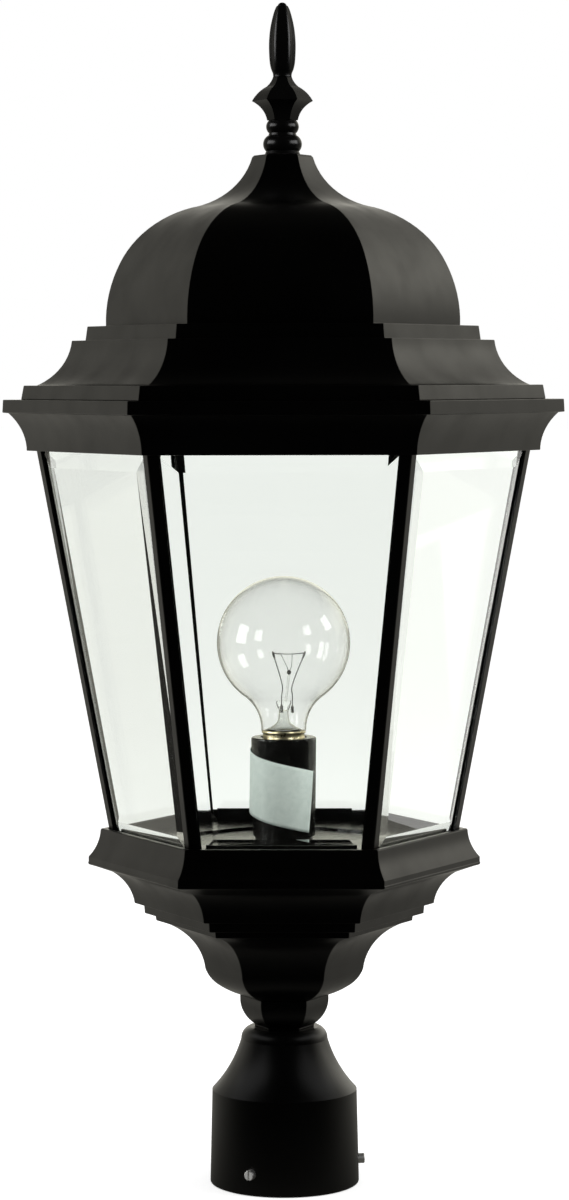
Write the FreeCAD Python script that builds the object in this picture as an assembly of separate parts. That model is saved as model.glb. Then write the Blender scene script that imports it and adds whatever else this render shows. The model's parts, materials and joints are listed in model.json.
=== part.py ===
import FreeCAD, Part
import math
import os
from FreeCAD import Vector as V

# Post top lantern. Millimetres, +Z up. The origin is the centre of the mouth of the round
# fitter that slips over the post. Every hexagonal piece has a flat facing -Y and a corner on
# +X and -X, and its "r" is the distance from the axis to a corner.

# ---------------------------------------------------------------- driving dimensions

# Fitter: a round cup over a 3 inch (76.2 mm) post
POST_BORE_R = 38.9            # wall of the hole that takes the post
POST_BORE_DEPTH = 51.7        # the post's end stops here
FITTER_WALL = 5.8             # at the mouth
FITTER_DRAFT = 1.3            # the skirt is this much slimmer at its top
FITTER_SKIRT = 56.5           # height of the straight skirt
FITTER_NECK_R = 25.9
FITTER_SHOULDER = 30.5        # height of the coved shoulder
FITTER_TOP_R = 20.5
FITTER_CROWN = 7.3            # height of the rounded top
FITTER_SHOULDER_WALL = 5.5
FITTER_MOUTH_ROUND = 1.2

SET_SCREW_R = 3.0
SET_SCREW_LENGTH = 9.0
SET_SCREW_Z = 13.0
SET_SCREW_ANGLES = (-115.4, 4.6, 124.6)
SET_SCREW_PLAY = 0.05
SET_SCREW_SETBACK = 0.3       # tip behind the bore's wall when no post is in
SLOT_WIDTH = 1.0
SLOT_DEPTH = 1.4

# Neck knob between fitter and pan
KNOB_NECK_R = 18.0
KNOB_R = 26.7
KNOB_HEIGHT = 18.9
KNOB_FOOT = 1.3
KNOB_BOWL = 14.9

# Hollow threaded nipple up the middle, with its nuts
NIPPLE_R = 6.5
NIPPLE_BORE_R = 4.5
NIPPLE_HOLE_R = 6.8
NIPPLE_TAIL = 4.0             # thread showing past each end nut
NUT_R = 11.0
NUT_HEIGHT = 6.4
WASHER_R = 13.0
WASHER_HEIGHT = 1.6
THREAD_PLAY = 0.05

# Pan: hexagonal casting, from its foot up
PAN_FOOT_R = 26.9
PAN_BELL_TURN_R = 38.4        # where the bell's steep foot turns into its round shoulder
PAN_BELL_TURN = 5.2           # height of that turn over the foot
PAN_BELL_R = 47.6
PAN_BELL_HEIGHT = 16.0
PAN_FLARE_HEIGHT = 28.9
PAN_STEP_HEIGHTS = (3.7, 6.1)
PAN_STEP_WIDTHS = (6.8, 6.1)
PAN_STEP_SLOPE = 0.6          # the steps' treads fall outwards by this much
PAN_STEP_DRAFT = 0.5
PAN_COVE_WIDTH = 13.1
PAN_COVE_HEIGHT = 19.5
PAN_LIP_WIDTH = 14.4
PAN_LIP_RISE = 4.9
PAN_LIP_ROUND = 1.4
PAN_LIP_HEIGHT = 4.9
PAN_FASCIA_WIDTH = 7.9
PAN_FASCIA_HEIGHT = 15.4
PAN_RIM_WIDTH = 3.8
PAN_RIM_ROUND = 0.6
PAN_RIM_EDGE = 1.0
PAN_WALL = 3.5
PAN_GROOVE_DEPTH = 8.3        # the posts and glazing bars stand this far down inside the rim
PAN_LEDGE = 3.8

# Cage: posts that lean outwards, panes, rails and gussets
POST_FOOT_R = 105.1           # outer corner of a post, level with the pan's top
POST_HEAD_R = 147.0           # the same, level with the foot of the crown frame
CAGE_HEIGHT = 226.0           # from the pan's top to the foot of the crown frame
POST_FLANGE = 6.0
POST_FLANGE_THICKNESS = 1.5
POST_CHANNEL = 3.2            # room for the edge of a pane
POST_LIP = 3.4
POST_LIP_THICKNESS = 1.2
POST_WEB = 1.6
POST_NOSE = 1.2
POST_CLEARANCE = 0.5          # between posts and the castings round them
PANE_EDGE = 2.4               # thickness of a pane at its edge
PANE_BODY = 4.2               # and in the middle
PANE_BEVEL = 15.0
PANE_GAP = 0.3
PANE_REACH = 2.0              # how far a pane goes up inside the crown frame
RAIL_THICKNESS = 2.4          # leg of a glazing bar, between pane and floor plate
RAIL_HEIGHT = 10.2
RAIL_FOOT = 9.0               # inner foot, under the floor plate
RAIL_FOOT_THICKNESS = 2.0
RAIL_GAP = 0.25
RAIL_END_GAP = 0.5
CLIP_WIDTH = 12.0             # spring clip behind the head of each pane
CLIP_THICKNESS = 0.8
CLIP_RISE = 0.4               # its leaf ends this far above the crown frame's foot
CLIP_TAB = 5.2
CLIP_GAP = 0.1
CLIP_SCREW_R = 1.5
CLIP_SCREW_HEAD_R = 2.1
CLIP_SCREW_HEAD = 1.4
CLIP_SCREW_LENGTH = 3.4
CLIP_SCREW_PLAY = 0.1
GUSSET_THICKNESS = 3.0
GUSSET_GAP = 0.1
GUSSET_TOE = 2.0              # width of a gusset's blunt end
HEAD_GUSSET_REACH = 12.0
HEAD_GUSSET_RISE = 1.6        # its toe is this far above the crown frame's foot
HEAD_GUSSET_SLANT = 6.0
FOOT_GUSSET_REACH = 9.0
FOOT_GUSSET_HEIGHT = 4.4
FOOT_GUSSET_TOE = 2.0

# Floor plate over the pan
FLOOR_THICKNESS = 1.2
FLOOR_EDGE_GAP = 0.4
FLOOR_DISH_R = 54.0           # round dish pressed down into it, under the socket
FLOOR_DISH_DEPTH = 1.6
RAIL_SCREW_R = 2.0
RAIL_SCREW_PLAY = 0.2
RAIL_SCREW_HEAD_R = 3.6
RAIL_SCREW_HEAD = 2.0
RAIL_SCREW_LENGTH = 5.6

# Crown frame: rim, cove and fascia
CROWN_FASCIA_WALL = 5.3
CROWN_FASCIA_HEIGHT = 1.9
CROWN_COVE_HEIGHT = 20.4
CROWN_COVE_SAG = 2.0
CROWN_RIM_WIDTH = 3.6
CROWN_RIM_REACH = 14.6         # rim, outwards from the wall at the posts' heads
CROWN_RIM_HEIGHT = 7.7
CROWN_RIM_DRAFT = 0.4
CROWN_CHAMFER = 0.3
CROWN_FLANGE = 3.5            # its thickness
CROWN_FLANGE_REACH = 10.3     # and its width, inwards from the wall

# Roof: ledge, cove skirt, two steps, bell dome and neck
ROOF_LEDGE_SETBACK = 11.2
ROOF_LEDGE_HEIGHT = 8.4
ROOF_LEDGE_DRAFT = 1.6
ROOF_SKIRT_SETBACK = 7.8
ROOF_SKIRT_WIDTH = 21.0
ROOF_SKIRT_HEIGHT = 26.5
ROOF_STEP_HEIGHT = 8.4
ROOF_STEP_WIDTHS = (8.1, 11.0)
ROOF_STEP_DRAFT = 1.2
ROOF_DOME_HEIGHT = 70.0
ROOF_DOME_SHOULDER_R = 96.9
ROOF_DOME_SHOULDER = 36.9     # height of the shoulder over the dome's foot
ROOF_DOME_TOP_R = 54.0
ROOF_NECK_HEIGHT = 29.3
ROOF_TOP_R = 18.2
ROOF_TOP_EDGE = 1.2
ROOF_WALL = 3.2

# Cross bar, rod and finial
BAR_WIDTH = 22.0
BAR_THICKNESS = 3.0
BAR_CORNER = 3.0
BAR_HOLE_PLAY = 0.2
BAR_SCREW_INSET = 3.6         # from the crown frame's mouth
BAR_SCREW_MARGIN = 4.0        # from a screw to the end of the bar
BAR_SCREW_R = 2.0
BAR_SCREW_HEAD_R = 3.4
BAR_SCREW_HEAD = 1.5
BAR_SCREW_LENGTH = 6.0
ROD_R = 3.0
ROD_TAIL = 8.0
ROD_GRIP = 18.0               # thread inside the finial
ROD_NUT_R = 5.8
ROD_NUT_HEIGHT = 4.7
ROD_HOLE_R = 3.6
ROD_PLAY = 0.06
SEAL_R = 9.6
SEAL_HEIGHT = 0.8
FINIAL_FOOT_R = 10.4
FINIAL_FOOT_HEIGHT = 1.6
FINIAL_BEAD_R = 11.2
FINIAL_BEAD_HEIGHT = 9.4
FINIAL_GROOVE_R = 8.0
FINIAL_SMALL_BEAD_R = 9.7
FINIAL_SMALL_BEAD_HEIGHT = 8.8
FINIAL_COLLAR_R = 18.0
FINIAL_COLLAR_NECK_R = 7.9
FINIAL_COLLAR_LOWER = 11.2
FINIAL_COLLAR_EDGE = 0.8
FINIAL_COLLAR_EDGE_R = 17.6
FINIAL_COLLAR_WAIST_R = 9.5
FINIAL_COLLAR_WAIST = 7.7     # height of the waist over the collar's edge
FINIAL_COLLAR_UPPER = 13.5
FINIAL_STEM_R = 5.5
FINIAL_BUD_FOOT_R = 6.4
FINIAL_BUD_STEM = 3.6
FINIAL_BUD_R = 7.9
FINIAL_BUD_HEIGHT = 39.8
FINIAL_LOBES = 6
FINIAL_LOBE_DEPTH = 0.9

# Socket
SOCKET_R = 19.4
SOCKET_FOOT_R = 18.7
SOCKET_HEIGHT = 58.9
SOCKET_CAP_HEIGHT = 3.2
SOCKET_CAP_BOSS = 8.0
SOCKET_WALL = 3.6
SOCKET_BORE_DEPTH = 26.0
SOCKET_WEB = 9.0
SOCKET_EDGE = 1.0
SHELL_THICKNESS = 0.5
SHELL_HEIGHT = 19.0
SHELL_GAP = 0.1               # between the brass shell and the socket's bore
SHELL_FLOOR = 2.0
SHELL_FLOOR_HOLE = 3.0        # wider than the contact by this much
CONTACT_R = 4.0
WRAP_THICKNESS = 0.3
WRAP_GAP = 0.15
WRAP_LOW = 7.9
WRAP_HIGH = 47.9
WRAP_SLOPE = 9.0              # tilt of its top and bottom edges, in degrees
WRAP_START = -190.0
WRAP_SWEEP = 165.0

# Bulb
BULB_R = 39.7                 # 3 1/8 inch globe
BULB_LENGTH = 119.5
BULB_NECK_R = 13.4
BULB_NECK_LENGTH = 21.0
BULB_GLASS = 0.8
BASE_R = 13.15
BASE_CHAMFER = 1.0
BASE_PLAY = 0.1
BASE_HEIGHT = 23.0
BASE_THICKNESS = 0.5
INSULATOR_HEIGHT = 3.0
INSULATOR_TIP_R = 6.0
TIP_R = 5.0
TIP_HEIGHT = 1.4
TIP_GAP = 0.2
BASE_STANDOFF = 4.0           # brass showing above the socket
STEM_FLARE_HEIGHT = 9.0
STEM_R = 3.2
STEM_HEIGHT = 18.0
LEAD_R = 0.45
LEAD_SPREAD = 9.7
LEAD_RISE = 29.0
LEAD_ROOT = 1.6
FILAMENT_R = 0.4

# ---------------------------------------------------------------- levels, worked out

FLAT = math.cos(math.radians(30))     # flat distance of a hexagon, as a share of its corner distance

FITTER_TOP_Z = FITTER_SKIRT + FITTER_SHOULDER + FITTER_CROWN
PAN_Z = FITTER_TOP_Z + KNOB_HEIGHT
PAN_LIP_Z = (PAN_Z + PAN_BELL_HEIGHT + PAN_FLARE_HEIGHT + sum(PAN_STEP_HEIGHTS)
             + PAN_COVE_HEIGHT + PAN_LIP_RISE)
PAN_TOP_Z = PAN_LIP_Z + PAN_LIP_HEIGHT + PAN_FASCIA_HEIGHT + PAN_RIM_EDGE
LEDGE_Z = PAN_TOP_Z - PAN_GROOVE_DEPTH
PLATE_Z = LEDGE_Z + RAIL_FOOT_THICKNESS
FLOOR_Z = PLATE_Z + FLOOR_THICKNESS
DISH_Z = FLOOR_Z - FLOOR_DISH_DEPTH
CROWN_Z = PAN_TOP_Z + CAGE_HEIGHT
CROWN_TOP_Z = (CROWN_Z + CROWN_FASCIA_HEIGHT + CROWN_COVE_HEIGHT + CROWN_CHAMFER
               + CROWN_RIM_HEIGHT)
POST_TOP_Z = CROWN_TOP_Z - CROWN_FLANGE
ROOF_TOP_Z = (CROWN_TOP_Z + ROOF_LEDGE_HEIGHT + ROOF_SKIRT_HEIGHT + ROOF_STEP_HEIGHT
              + ROOF_DOME_HEIGHT + ROOF_NECK_HEIGHT + ROOF_TOP_EDGE)
FINIAL_Z = ROOF_TOP_Z + SEAL_HEIGHT
SOCKET_Z = DISH_Z + SOCKET_CAP_HEIGHT
SOCKET_TOP_Z = SOCKET_Z + SOCKET_HEIGHT
BASE_TOP_Z = SOCKET_TOP_Z + BASE_STANDOFF
TIP_Z = BASE_TOP_Z - BASE_HEIGHT - INSULATOR_HEIGHT - TIP_HEIGHT
BULB_TOP_Z = TIP_Z + BULB_LENGTH
BULB_CENTRE_Z = BULB_TOP_Z - BULB_R

POST_LEAN = (POST_HEAD_R - POST_FOOT_R) / CAGE_HEIGHT
PANE_TILT = math.atan(POST_LEAN * FLAT)
POST_DEPTH = (POST_FLANGE_THICKNESS + POST_CHANNEL + POST_LIP_THICKNESS) / FLAT
POST_REACH = POST_DEPTH + POST_LIP / 2        # from a post's outer corner to its innermost edge


def post_r(z):
    """Corner distance of the posts' outer corners at height z."""
    return POST_FOOT_R + POST_LEAN * (z - PAN_TOP_Z)


# ---------------------------------------------------------------- drawing helpers

def outline(*points):
    """Closed face in the XZ plane. A point is (x, z), reached by a line, or (x, z, sag), reached
    by an arc that bulges by sag to the left of the way there."""
    edges = []
    here = V(points[0][0], 0, points[0][1])
    start = here
    for point in points[1:]:
        there = V(point[0], 0, point[1])
        if len(point) == 3:
            way = there - here
            left = V(-way.z, 0, way.x).normalize()
            middle = (here + there) * 0.5 + left * point[2]
            edges.append(Part.Arc(here, middle, there).toShape())
        else:
            edges.append(Part.LineSegment(here, there).toShape())
        here = there
    edges.append(Part.LineSegment(here, start).toShape())
    return Part.Face(Part.Wire(edges))


def turned(*points):
    """Solid of revolution about Z from an outline of (radius, z) points."""
    return outline(*points).revolve(V(0, 0, 0), V(0, 0, 1), 360)


def hexagonal(*points):
    """Six-sided solid from an outline of (corner radius, z) points, mitred at the corners."""
    section = outline(*[(point[0] * FLAT,) + tuple(point[1:]) for point in points])
    reach = section.BoundBox.XMax
    low = section.BoundBox.ZMin - 1
    height = section.BoundBox.ZLength + 2
    side = 2 * reach * math.tan(math.radians(30))
    slab = section.copy()
    slab.translate(V(0, -side, 0))
    slab = slab.extrude(V(0, 2 * side, 0))
    corners = [V(0, 0, low), V(2 * reach, side, low), V(2 * reach, -side, low), V(0, 0, low)]
    wedge = Part.Face(Part.makePolygon(corners)).extrude(V(0, 0, height))
    sector = slab.common(wedge)
    sectors = [about_axis(sector, 30 + 60 * k) for k in range(6)]
    return sectors[0].multiFuse(sectors[1:]).removeSplitter()


def hexagon_prism(corner_r, low, high, turn=0):
    """Plain hexagonal prism about Z."""
    angles = [math.radians(60 * k + turn) for k in range(7)]
    ring = [V(corner_r * math.cos(a), corner_r * math.sin(a), low) for a in angles]
    return Part.Face(Part.makePolygon(ring)).extrude(V(0, 0, high - low))


def about_axis(shape, angle):
    """Copy of a shape turned about Z by an angle in degrees."""
    copy = shape.copy()
    copy.rotate(V(0, 0, 0), V(0, 0, 1), angle)
    return copy


def rod(radius, low, high, x=0, y=0):
    """Upright cylinder."""
    return Part.makeCylinder(radius, high - low, V(x, y, low))


def moved_in(points, wall, rise):
    """Outline points moved inwards (in corner radius) and up or down, to make a hollow."""
    step = wall / FLAT
    return [(max(point[0] - step, 0), point[1] + rise) + tuple(point[2:]) for point in points]


def save(name, *shapes):
    """One STEP file per node, holding each of its solids."""
    solids = [solid for shape in shapes for solid in shape.Solids]
    shape = solids[0] if len(solids) == 1 else Part.makeCompound(solids)
    shape.exportStep("parts/" + name + ".step")


# ---------------------------------------------------------------- fitter, knob, nipple

def shoulder_points(inset):
    """The fitter's coved shoulder and rounded top, or its hollow side when inset."""
    skirt_r = POST_BORE_R + FITTER_WALL - FITTER_DRAFT
    z = FITTER_SKIRT - inset
    return [
        (skirt_r - inset, z),
        (FITTER_NECK_R - inset, z + FITTER_SHOULDER, 2.1),
        (FITTER_TOP_R - inset, z + FITTER_SHOULDER + FITTER_CROWN, -1.6),
    ]


def fitter():
    mouth_r = POST_BORE_R + FITTER_WALL
    edge = FITTER_MOUTH_ROUND
    body = turned((0, 0), (mouth_r - edge, 0), (mouth_r, edge, -0.3 * edge), *shoulder_points(0),
                  (0, FITTER_TOP_Z))
    hollow = turned((0, 0), *shoulder_points(FITTER_SHOULDER_WALL),
                    (0, FITTER_TOP_Z - FITTER_SHOULDER_WALL))
    body = body.cut(hollow.common(rod(mouth_r, POST_BORE_DEPTH - 1, FITTER_TOP_Z)))
    body = body.cut(rod(POST_BORE_R, -1, POST_BORE_DEPTH))
    body = body.cut(rod(NIPPLE_HOLE_R, 0, FITTER_TOP_Z + 1))
    for angle in SET_SCREW_ANGLES:
        hole = Part.makeCylinder(SET_SCREW_R + SET_SCREW_PLAY, mouth_r, V(0, 0, SET_SCREW_Z), V(1, 0, 0))
        body = body.cut(about_axis(hole, angle))
    return body


def set_screw(angle):
    """Slotted set screw with a cone point, lying along a radius of the fitter."""
    tip = POST_BORE_R + SET_SCREW_SETBACK
    end = tip + SET_SCREW_LENGTH
    point = SET_SCREW_R * 0.6
    screw = outline((0, 0), (point, 0), (SET_SCREW_R, SET_SCREW_R - point),
                    (SET_SCREW_R, SET_SCREW_LENGTH - 0.4), (SET_SCREW_R - 0.4, SET_SCREW_LENGTH),
                    (0, SET_SCREW_LENGTH)).revolve(V(0, 0, 0), V(0, 0, 1), 360)
    screw.rotate(V(0, 0, 0), V(0, 1, 0), 90)
    screw.translate(V(tip, 0, SET_SCREW_Z))
    slot = Part.makeBox(SLOT_DEPTH + 1, SLOT_WIDTH, 4 * SET_SCREW_R,
                        V(end - SLOT_DEPTH, -SLOT_WIDTH / 2, SET_SCREW_Z - 2 * SET_SCREW_R))
    return about_axis(screw.cut(slot), angle)


def neck_knob():
    bowl_z = FITTER_TOP_Z + KNOB_FOOT
    body = hexagonal((0, FITTER_TOP_Z), (KNOB_NECK_R, FITTER_TOP_Z), (KNOB_NECK_R, bowl_z),
                     (KNOB_R, bowl_z + KNOB_BOWL, -1.9), (KNOB_R, PAN_Z), (0, PAN_Z))
    return body.cut(rod(NIPPLE_HOLE_R, FITTER_TOP_Z - 1, PAN_Z + 1))


def threaded_hole(shape, low, high):
    """Cut the nipple's threaded hole in a shape."""
    return shape.cut(rod(NIPPLE_R + THREAD_PLAY, low - 1, high + 1))


FITTER_CEILING_Z = FITTER_TOP_Z - FITTER_SHOULDER_WALL
LOWER_NUT_Z = FITTER_CEILING_Z - WASHER_HEIGHT - NUT_HEIGHT
PAN_INSIDE_Z = PAN_Z + PAN_WALL
NIPPLE_LOW_Z = LOWER_NUT_Z - NIPPLE_TAIL
NIPPLE_HIGH_Z = SOCKET_Z + SOCKET_CAP_BOSS - 1.0


def nipple():
    return rod(NIPPLE_R, NIPPLE_LOW_Z, NIPPLE_HIGH_Z).cut(
        rod(NIPPLE_BORE_R, NIPPLE_LOW_Z - 1, NIPPLE_HIGH_Z + 1))


def fitter_washer():
    ring = rod(WASHER_R, FITTER_CEILING_Z - WASHER_HEIGHT, FITTER_CEILING_Z)
    return ring.cut(rod(NIPPLE_HOLE_R, FITTER_CEILING_Z - WASHER_HEIGHT - 1, FITTER_CEILING_Z + 1))


def lock_nut(low):
    return threaded_hole(hexagon_prism(NUT_R, low, low + NUT_HEIGHT), low, low + NUT_HEIGHT)


# ---------------------------------------------------------------- pan and floor

GROOVE_R = POST_FOOT_R + POST_CLEARANCE
PAN_RIM_R = GROOVE_R + PAN_RIM_WIDTH
PAN_LIP_R = PAN_RIM_R + PAN_FASCIA_WIDTH


def pan_points():
    """The pan's outside, from the foot to the top of the fascia."""
    cove_top_r = PAN_LIP_R - PAN_LIP_WIDTH
    step_r = cove_top_r - PAN_COVE_WIDTH
    low_step_r = step_r - PAN_STEP_WIDTHS[1]
    flare_r = low_step_r - PAN_STEP_WIDTHS[0]
    z_bell = PAN_Z + PAN_BELL_HEIGHT
    z_flare = z_bell + PAN_FLARE_HEIGHT
    z_low_step = z_flare + PAN_STEP_HEIGHTS[0]
    z_step = z_low_step + PAN_STEP_HEIGHTS[1]
    z_cove = z_step + PAN_COVE_HEIGHT
    return [
        (PAN_FOOT_R, PAN_Z),
        (PAN_BELL_TURN_R, PAN_Z + PAN_BELL_TURN, -0.4),
        (PAN_BELL_R, z_bell, -1.2),
        (flare_r, z_flare, 6.2),
        (flare_r + PAN_STEP_DRAFT, z_low_step),
        (low_step_r, z_low_step + PAN_STEP_SLOPE),
        (low_step_r + PAN_STEP_DRAFT, z_step),
        (step_r, z_step + PAN_STEP_SLOPE),
        (cove_top_r, z_cove, 2.4),
        (PAN_LIP_R - PAN_LIP_ROUND, PAN_LIP_Z - PAN_RIM_ROUND),
        (PAN_LIP_R, PAN_LIP_Z + PAN_LIP_ROUND, -0.8),
        (PAN_LIP_R, PAN_LIP_Z + PAN_LIP_HEIGHT - PAN_RIM_ROUND),
        (PAN_RIM_R + PAN_RIM_ROUND, PAN_TOP_Z - PAN_RIM_EDGE, 1.4),
        (PAN_RIM_R - PAN_RIM_ROUND, PAN_TOP_Z, -0.3),
    ]


def pan():
    outside = pan_points()
    body = hexagonal((0, PAN_Z), *outside, (GROOVE_R, PAN_TOP_Z), (GROOVE_R, LEDGE_Z), (0, LEDGE_Z))
    inside = moved_in(outside, PAN_WALL, PAN_WALL)
    hollow = hexagonal((0, inside[0][1]), *inside, (0, inside[-1][1]))
    below = rod(2 * PAN_LIP_R, PAN_Z, LEDGE_Z - PAN_LEDGE)
    body = body.cut(hollow.common(below))
    body = body.cut(hexagon_prism(rail_toe_flat() / FLAT, LEDGE_Z - PAN_LEDGE - 1, LEDGE_Z + 1))
    body = body.cut(rod(NIPPLE_HOLE_R, PAN_Z - 1, PAN_INSIDE_Z + 1))
    screw_hole = rod(RAIL_SCREW_R + RAIL_SCREW_PLAY, LEDGE_Z - PAN_LEDGE - 1, LEDGE_Z + 1,
                     rail_screw_flat(), 0)
    for k in range(6):
        body = body.cut(about_axis(screw_hole, 30 + 60 * k))
    return body


def floor_r():
    """Corner radius of the floor plate, inside the rails and the posts."""
    rail_inside = (rail_flat() - RAIL_THICKNESS - FLOOR_EDGE_GAP) / FLAT
    post_inside = post_r(LEDGE_Z) - POST_REACH - FLOOR_EDGE_GAP
    return min(rail_inside, post_inside)


def floor_plate():
    """Pressed plate on the feet of the glazing bars, with a round dish that takes the socket."""
    under_z = DISH_Z - FLOOR_THICKNESS
    plate = hexagon_prism(floor_r(), PLATE_Z, FLOOR_Z).fuse(rod(FLOOR_DISH_R, under_z, FLOOR_Z))
    plate = plate.cut(rod(FLOOR_DISH_R - FLOOR_THICKNESS, DISH_Z, FLOOR_Z + 1))
    return plate.cut(rod(NIPPLE_HOLE_R, under_z - 1, FLOOR_Z + 1)).removeSplitter()


def pan_head_screw(x, y, seat_z, shank_r, head_r, head_h, length):
    """Screw with a low domed head, standing upright with its head on seat_z."""
    screw = turned((0, seat_z - length), (shank_r, seat_z - length), (shank_r, seat_z), (head_r, seat_z),
                   (head_r, seat_z + head_h * 0.4), (head_r * 0.6, seat_z + head_h, -0.25 * head_h),
                   (0, seat_z + head_h))
    screw.translate(V(x, y, 0))
    return screw


# ---------------------------------------------------------------- cage

def corner_post():
    """Cast bar at the +X corner: a V outside, a web between the panes and two lips behind them.
    Its section is drawn level and drawn out along the leaning corner."""
    foot_r = post_r(LEDGE_Z)
    side = V(-0.5, math.sqrt(0.75), 0)
    inward = V(-math.sqrt(0.75), -0.5, 0)
    half_web = POST_WEB / 2

    def on_web(depth):
        """Point on the web's side, at a depth measured square to the pane."""
        y = half_web
        x = -depth / FLAT - y * math.tan(math.radians(30))
        return V(x, y, 0)

    gap = POST_FLANGE_THICKNESS
    back = POST_FLANGE_THICKNESS + POST_CHANNEL
    rear = back + POST_LIP_THICKNESS
    tip = side * POST_FLANGE
    lip_tip = on_web(back) + side * POST_LIP
    half = [
        side * POST_NOSE,
        tip,
        tip + inward * gap,
        on_web(gap),
        on_web(back),
        lip_tip,
        lip_tip + inward * POST_LIP_THICKNESS,
        V(-rear / FLAT, 0, 0),
    ]
    mirrored = [V(p.x, -p.y, 0) for p in reversed(half[:-1])]
    loop = half + mirrored
    edges = [Part.LineSegment(a, b).toShape() for a, b in zip(loop, loop[1:])]
    edges.append(Part.Arc(loop[-1], V(-POST_NOSE * 0.3, 0, 0), loop[0]).toShape())
    section = Part.Face(Part.Wire(edges))
    section.translate(V(foot_r, 0, LEDGE_Z))
    height = POST_TOP_Z - LEDGE_Z
    return section.extrude(V(POST_LEAN * height, 0, height))


def pane():
    """Bevelled pane of the -Y side. Drawn flat, then tilted onto its posts."""
    middle_of_channel = POST_FLANGE_THICKNESS + POST_CHANNEL / 2
    outer_edge = middle_of_channel * math.cos(PANE_TILT) - PANE_EDGE / 2
    inner_face = outer_edge + PANE_EDGE
    foot_z = PLATE_Z + PANE_GAP
    head_z = CROWN_Z + PANE_REACH
    web_gap = POST_WEB / 2 / FLAT + inner_face * math.tan(math.radians(30)) + PANE_GAP
    slope = math.cos(PANE_TILT)
    base = (foot_z - PAN_TOP_Z) / slope - outer_edge * math.tan(PANE_TILT)
    top = (head_z - PAN_TOP_Z) / slope

    def half_width(s):
        return post_r(PAN_TOP_Z + s * slope) / 2 - web_gap

    def frame(inset, w):
        """Trapezium wire, inset from the pane's edges, at height w over the outer plane."""
        low = base + inset
        high = top - inset
        side = inset / math.cos(math.atan(POST_LEAN * slope / 2))
        a = half_width(low) - side
        b = half_width(high) - side
        return Part.makePolygon([V(-a, low, w), V(a, low, w), V(b, high, w), V(-b, high, w), V(-a, low, w)])

    slab = Part.Face(frame(0, -inner_face)).extrude(V(0, 0, PANE_EDGE))
    crown = Part.makeLoft([frame(0, -outer_edge), frame(PANE_BEVEL, PANE_BODY - inner_face)], True, True)
    glass = slab.fuse(crown).removeSplitter()
    glass.rotate(V(0, 0, 0), V(1, 0, 0), 90 + math.degrees(PANE_TILT))
    glass.translate(V(0, -POST_FOOT_R * FLAT, PAN_TOP_Z))
    return glass


def rail_flat():
    """Distance from the axis to the outer face of a bottom rail: just inside the pane's foot."""
    middle_of_channel = POST_FLANGE_THICKNESS + POST_CHANNEL / 2
    pane_inside = middle_of_channel + PANE_EDGE / 2 / math.cos(PANE_TILT)
    return post_r(LEDGE_Z) * FLAT - pane_inside - RAIL_GAP


def rail_toe_flat():
    """Distance from the axis to the inner edge of a glazing bar's foot, and of the pan's ledge."""
    return rail_flat() - RAIL_THICKNESS - RAIL_FOOT


def rail_screw_flat():
    return rail_toe_flat() + RAIL_FOOT / 2


def bottom_rail():
    """Glazing bar along the -Y side, an upside-down T: the pane stands on its outer foot, its leg
    holds the pane from inside, and its inner foot carries the floor plate."""
    outer = rail_flat()
    inner = outer - RAIL_THICKNESS
    heel = GROOVE_R * FLAT - POST_CLEARANCE
    foot_top = LEDGE_Z + RAIL_FOOT_THICKNESS
    round_top = RAIL_THICKNESS * 0.3
    leg_top = LEDGE_Z + RAIL_HEIGHT - round_top
    section = outline((heel, LEDGE_Z), (heel, foot_top), (outer, foot_top), (outer, leg_top),
                      (inner, leg_top, -round_top), (inner, foot_top), (rail_toe_flat(), foot_top),
                      (rail_toe_flat(), LEDGE_Z))
    section.translate(V(0, -outer, 0))
    bar = section.extrude(V(0, 2 * outer, 0))
    end_gap = POST_WEB / 2 + (POST_LIP + POST_LIP_THICKNESS) * FLAT + RAIL_END_GAP
    apex = 2 * end_gap
    side = (2 * outer - apex) * math.tan(math.radians(30))
    corners = [V(apex, 0, LEDGE_Z), V(2 * outer, side, LEDGE_Z), V(2 * outer, -side, LEDGE_Z),
               V(apex, 0, LEDGE_Z)]
    bar = bar.common(Part.Face(Part.makePolygon(corners)).extrude(V(0, 0, RAIL_HEIGHT + 1)))
    bar = bar.cut(rod(RAIL_SCREW_R + THREAD_PLAY, LEDGE_Z - 1, foot_top + 1, rail_screw_flat(), 0))
    return about_axis(bar, -90)


def rail_screw():
    """Screw from below, through the pan's ledge into a glazing bar's foot."""
    screw = pan_head_screw(0, 0, 0, RAIL_SCREW_R, RAIL_SCREW_HEAD_R, RAIL_SCREW_HEAD, RAIL_SCREW_LENGTH)
    screw.rotate(V(0, 0, 0), V(1, 0, 0), 180)
    screw.translate(V(rail_screw_flat(), 0, LEDGE_Z - PAN_LEDGE))
    return screw


def pane_inside_flat(z):
    """Distance from the axis to the inner face of a pane at height z."""
    middle_of_channel = POST_FLANGE_THICKNESS + POST_CHANNEL / 2
    return post_r(z) * FLAT - middle_of_channel - PANE_EDGE / 2 / math.cos(PANE_TILT)


def clip_tab_flat():
    """Where the leaf of a clip meets its tab, under the crown frame's flange."""
    return pane_inside_flat(POST_TOP_Z) - CLIP_THICKNESS


def pane_clip():
    """Spring clip of the +X side: a tab under the flange and a leaf against the pane."""
    high = POST_TOP_Z
    low = CROWN_Z + CLIP_RISE
    leaf = clip_tab_flat()
    heel = pane_inside_flat(low) - CLIP_THICKNESS - CLIP_GAP
    tab = leaf + CLIP_TAB
    under_tab = high - CLIP_THICKNESS
    clip = outline((leaf, high), (tab, high), (tab, under_tab), (leaf + CLIP_THICKNESS, under_tab),
                   (heel + CLIP_THICKNESS, low), (heel, low))
    clip.translate(V(0, -CLIP_WIDTH / 2, 0))
    clip = clip.extrude(V(0, CLIP_WIDTH, 0))
    return clip.cut(rod(CLIP_SCREW_R + CLIP_SCREW_PLAY, high - 2, high + 1, clip_screw_flat(), 0))


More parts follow.
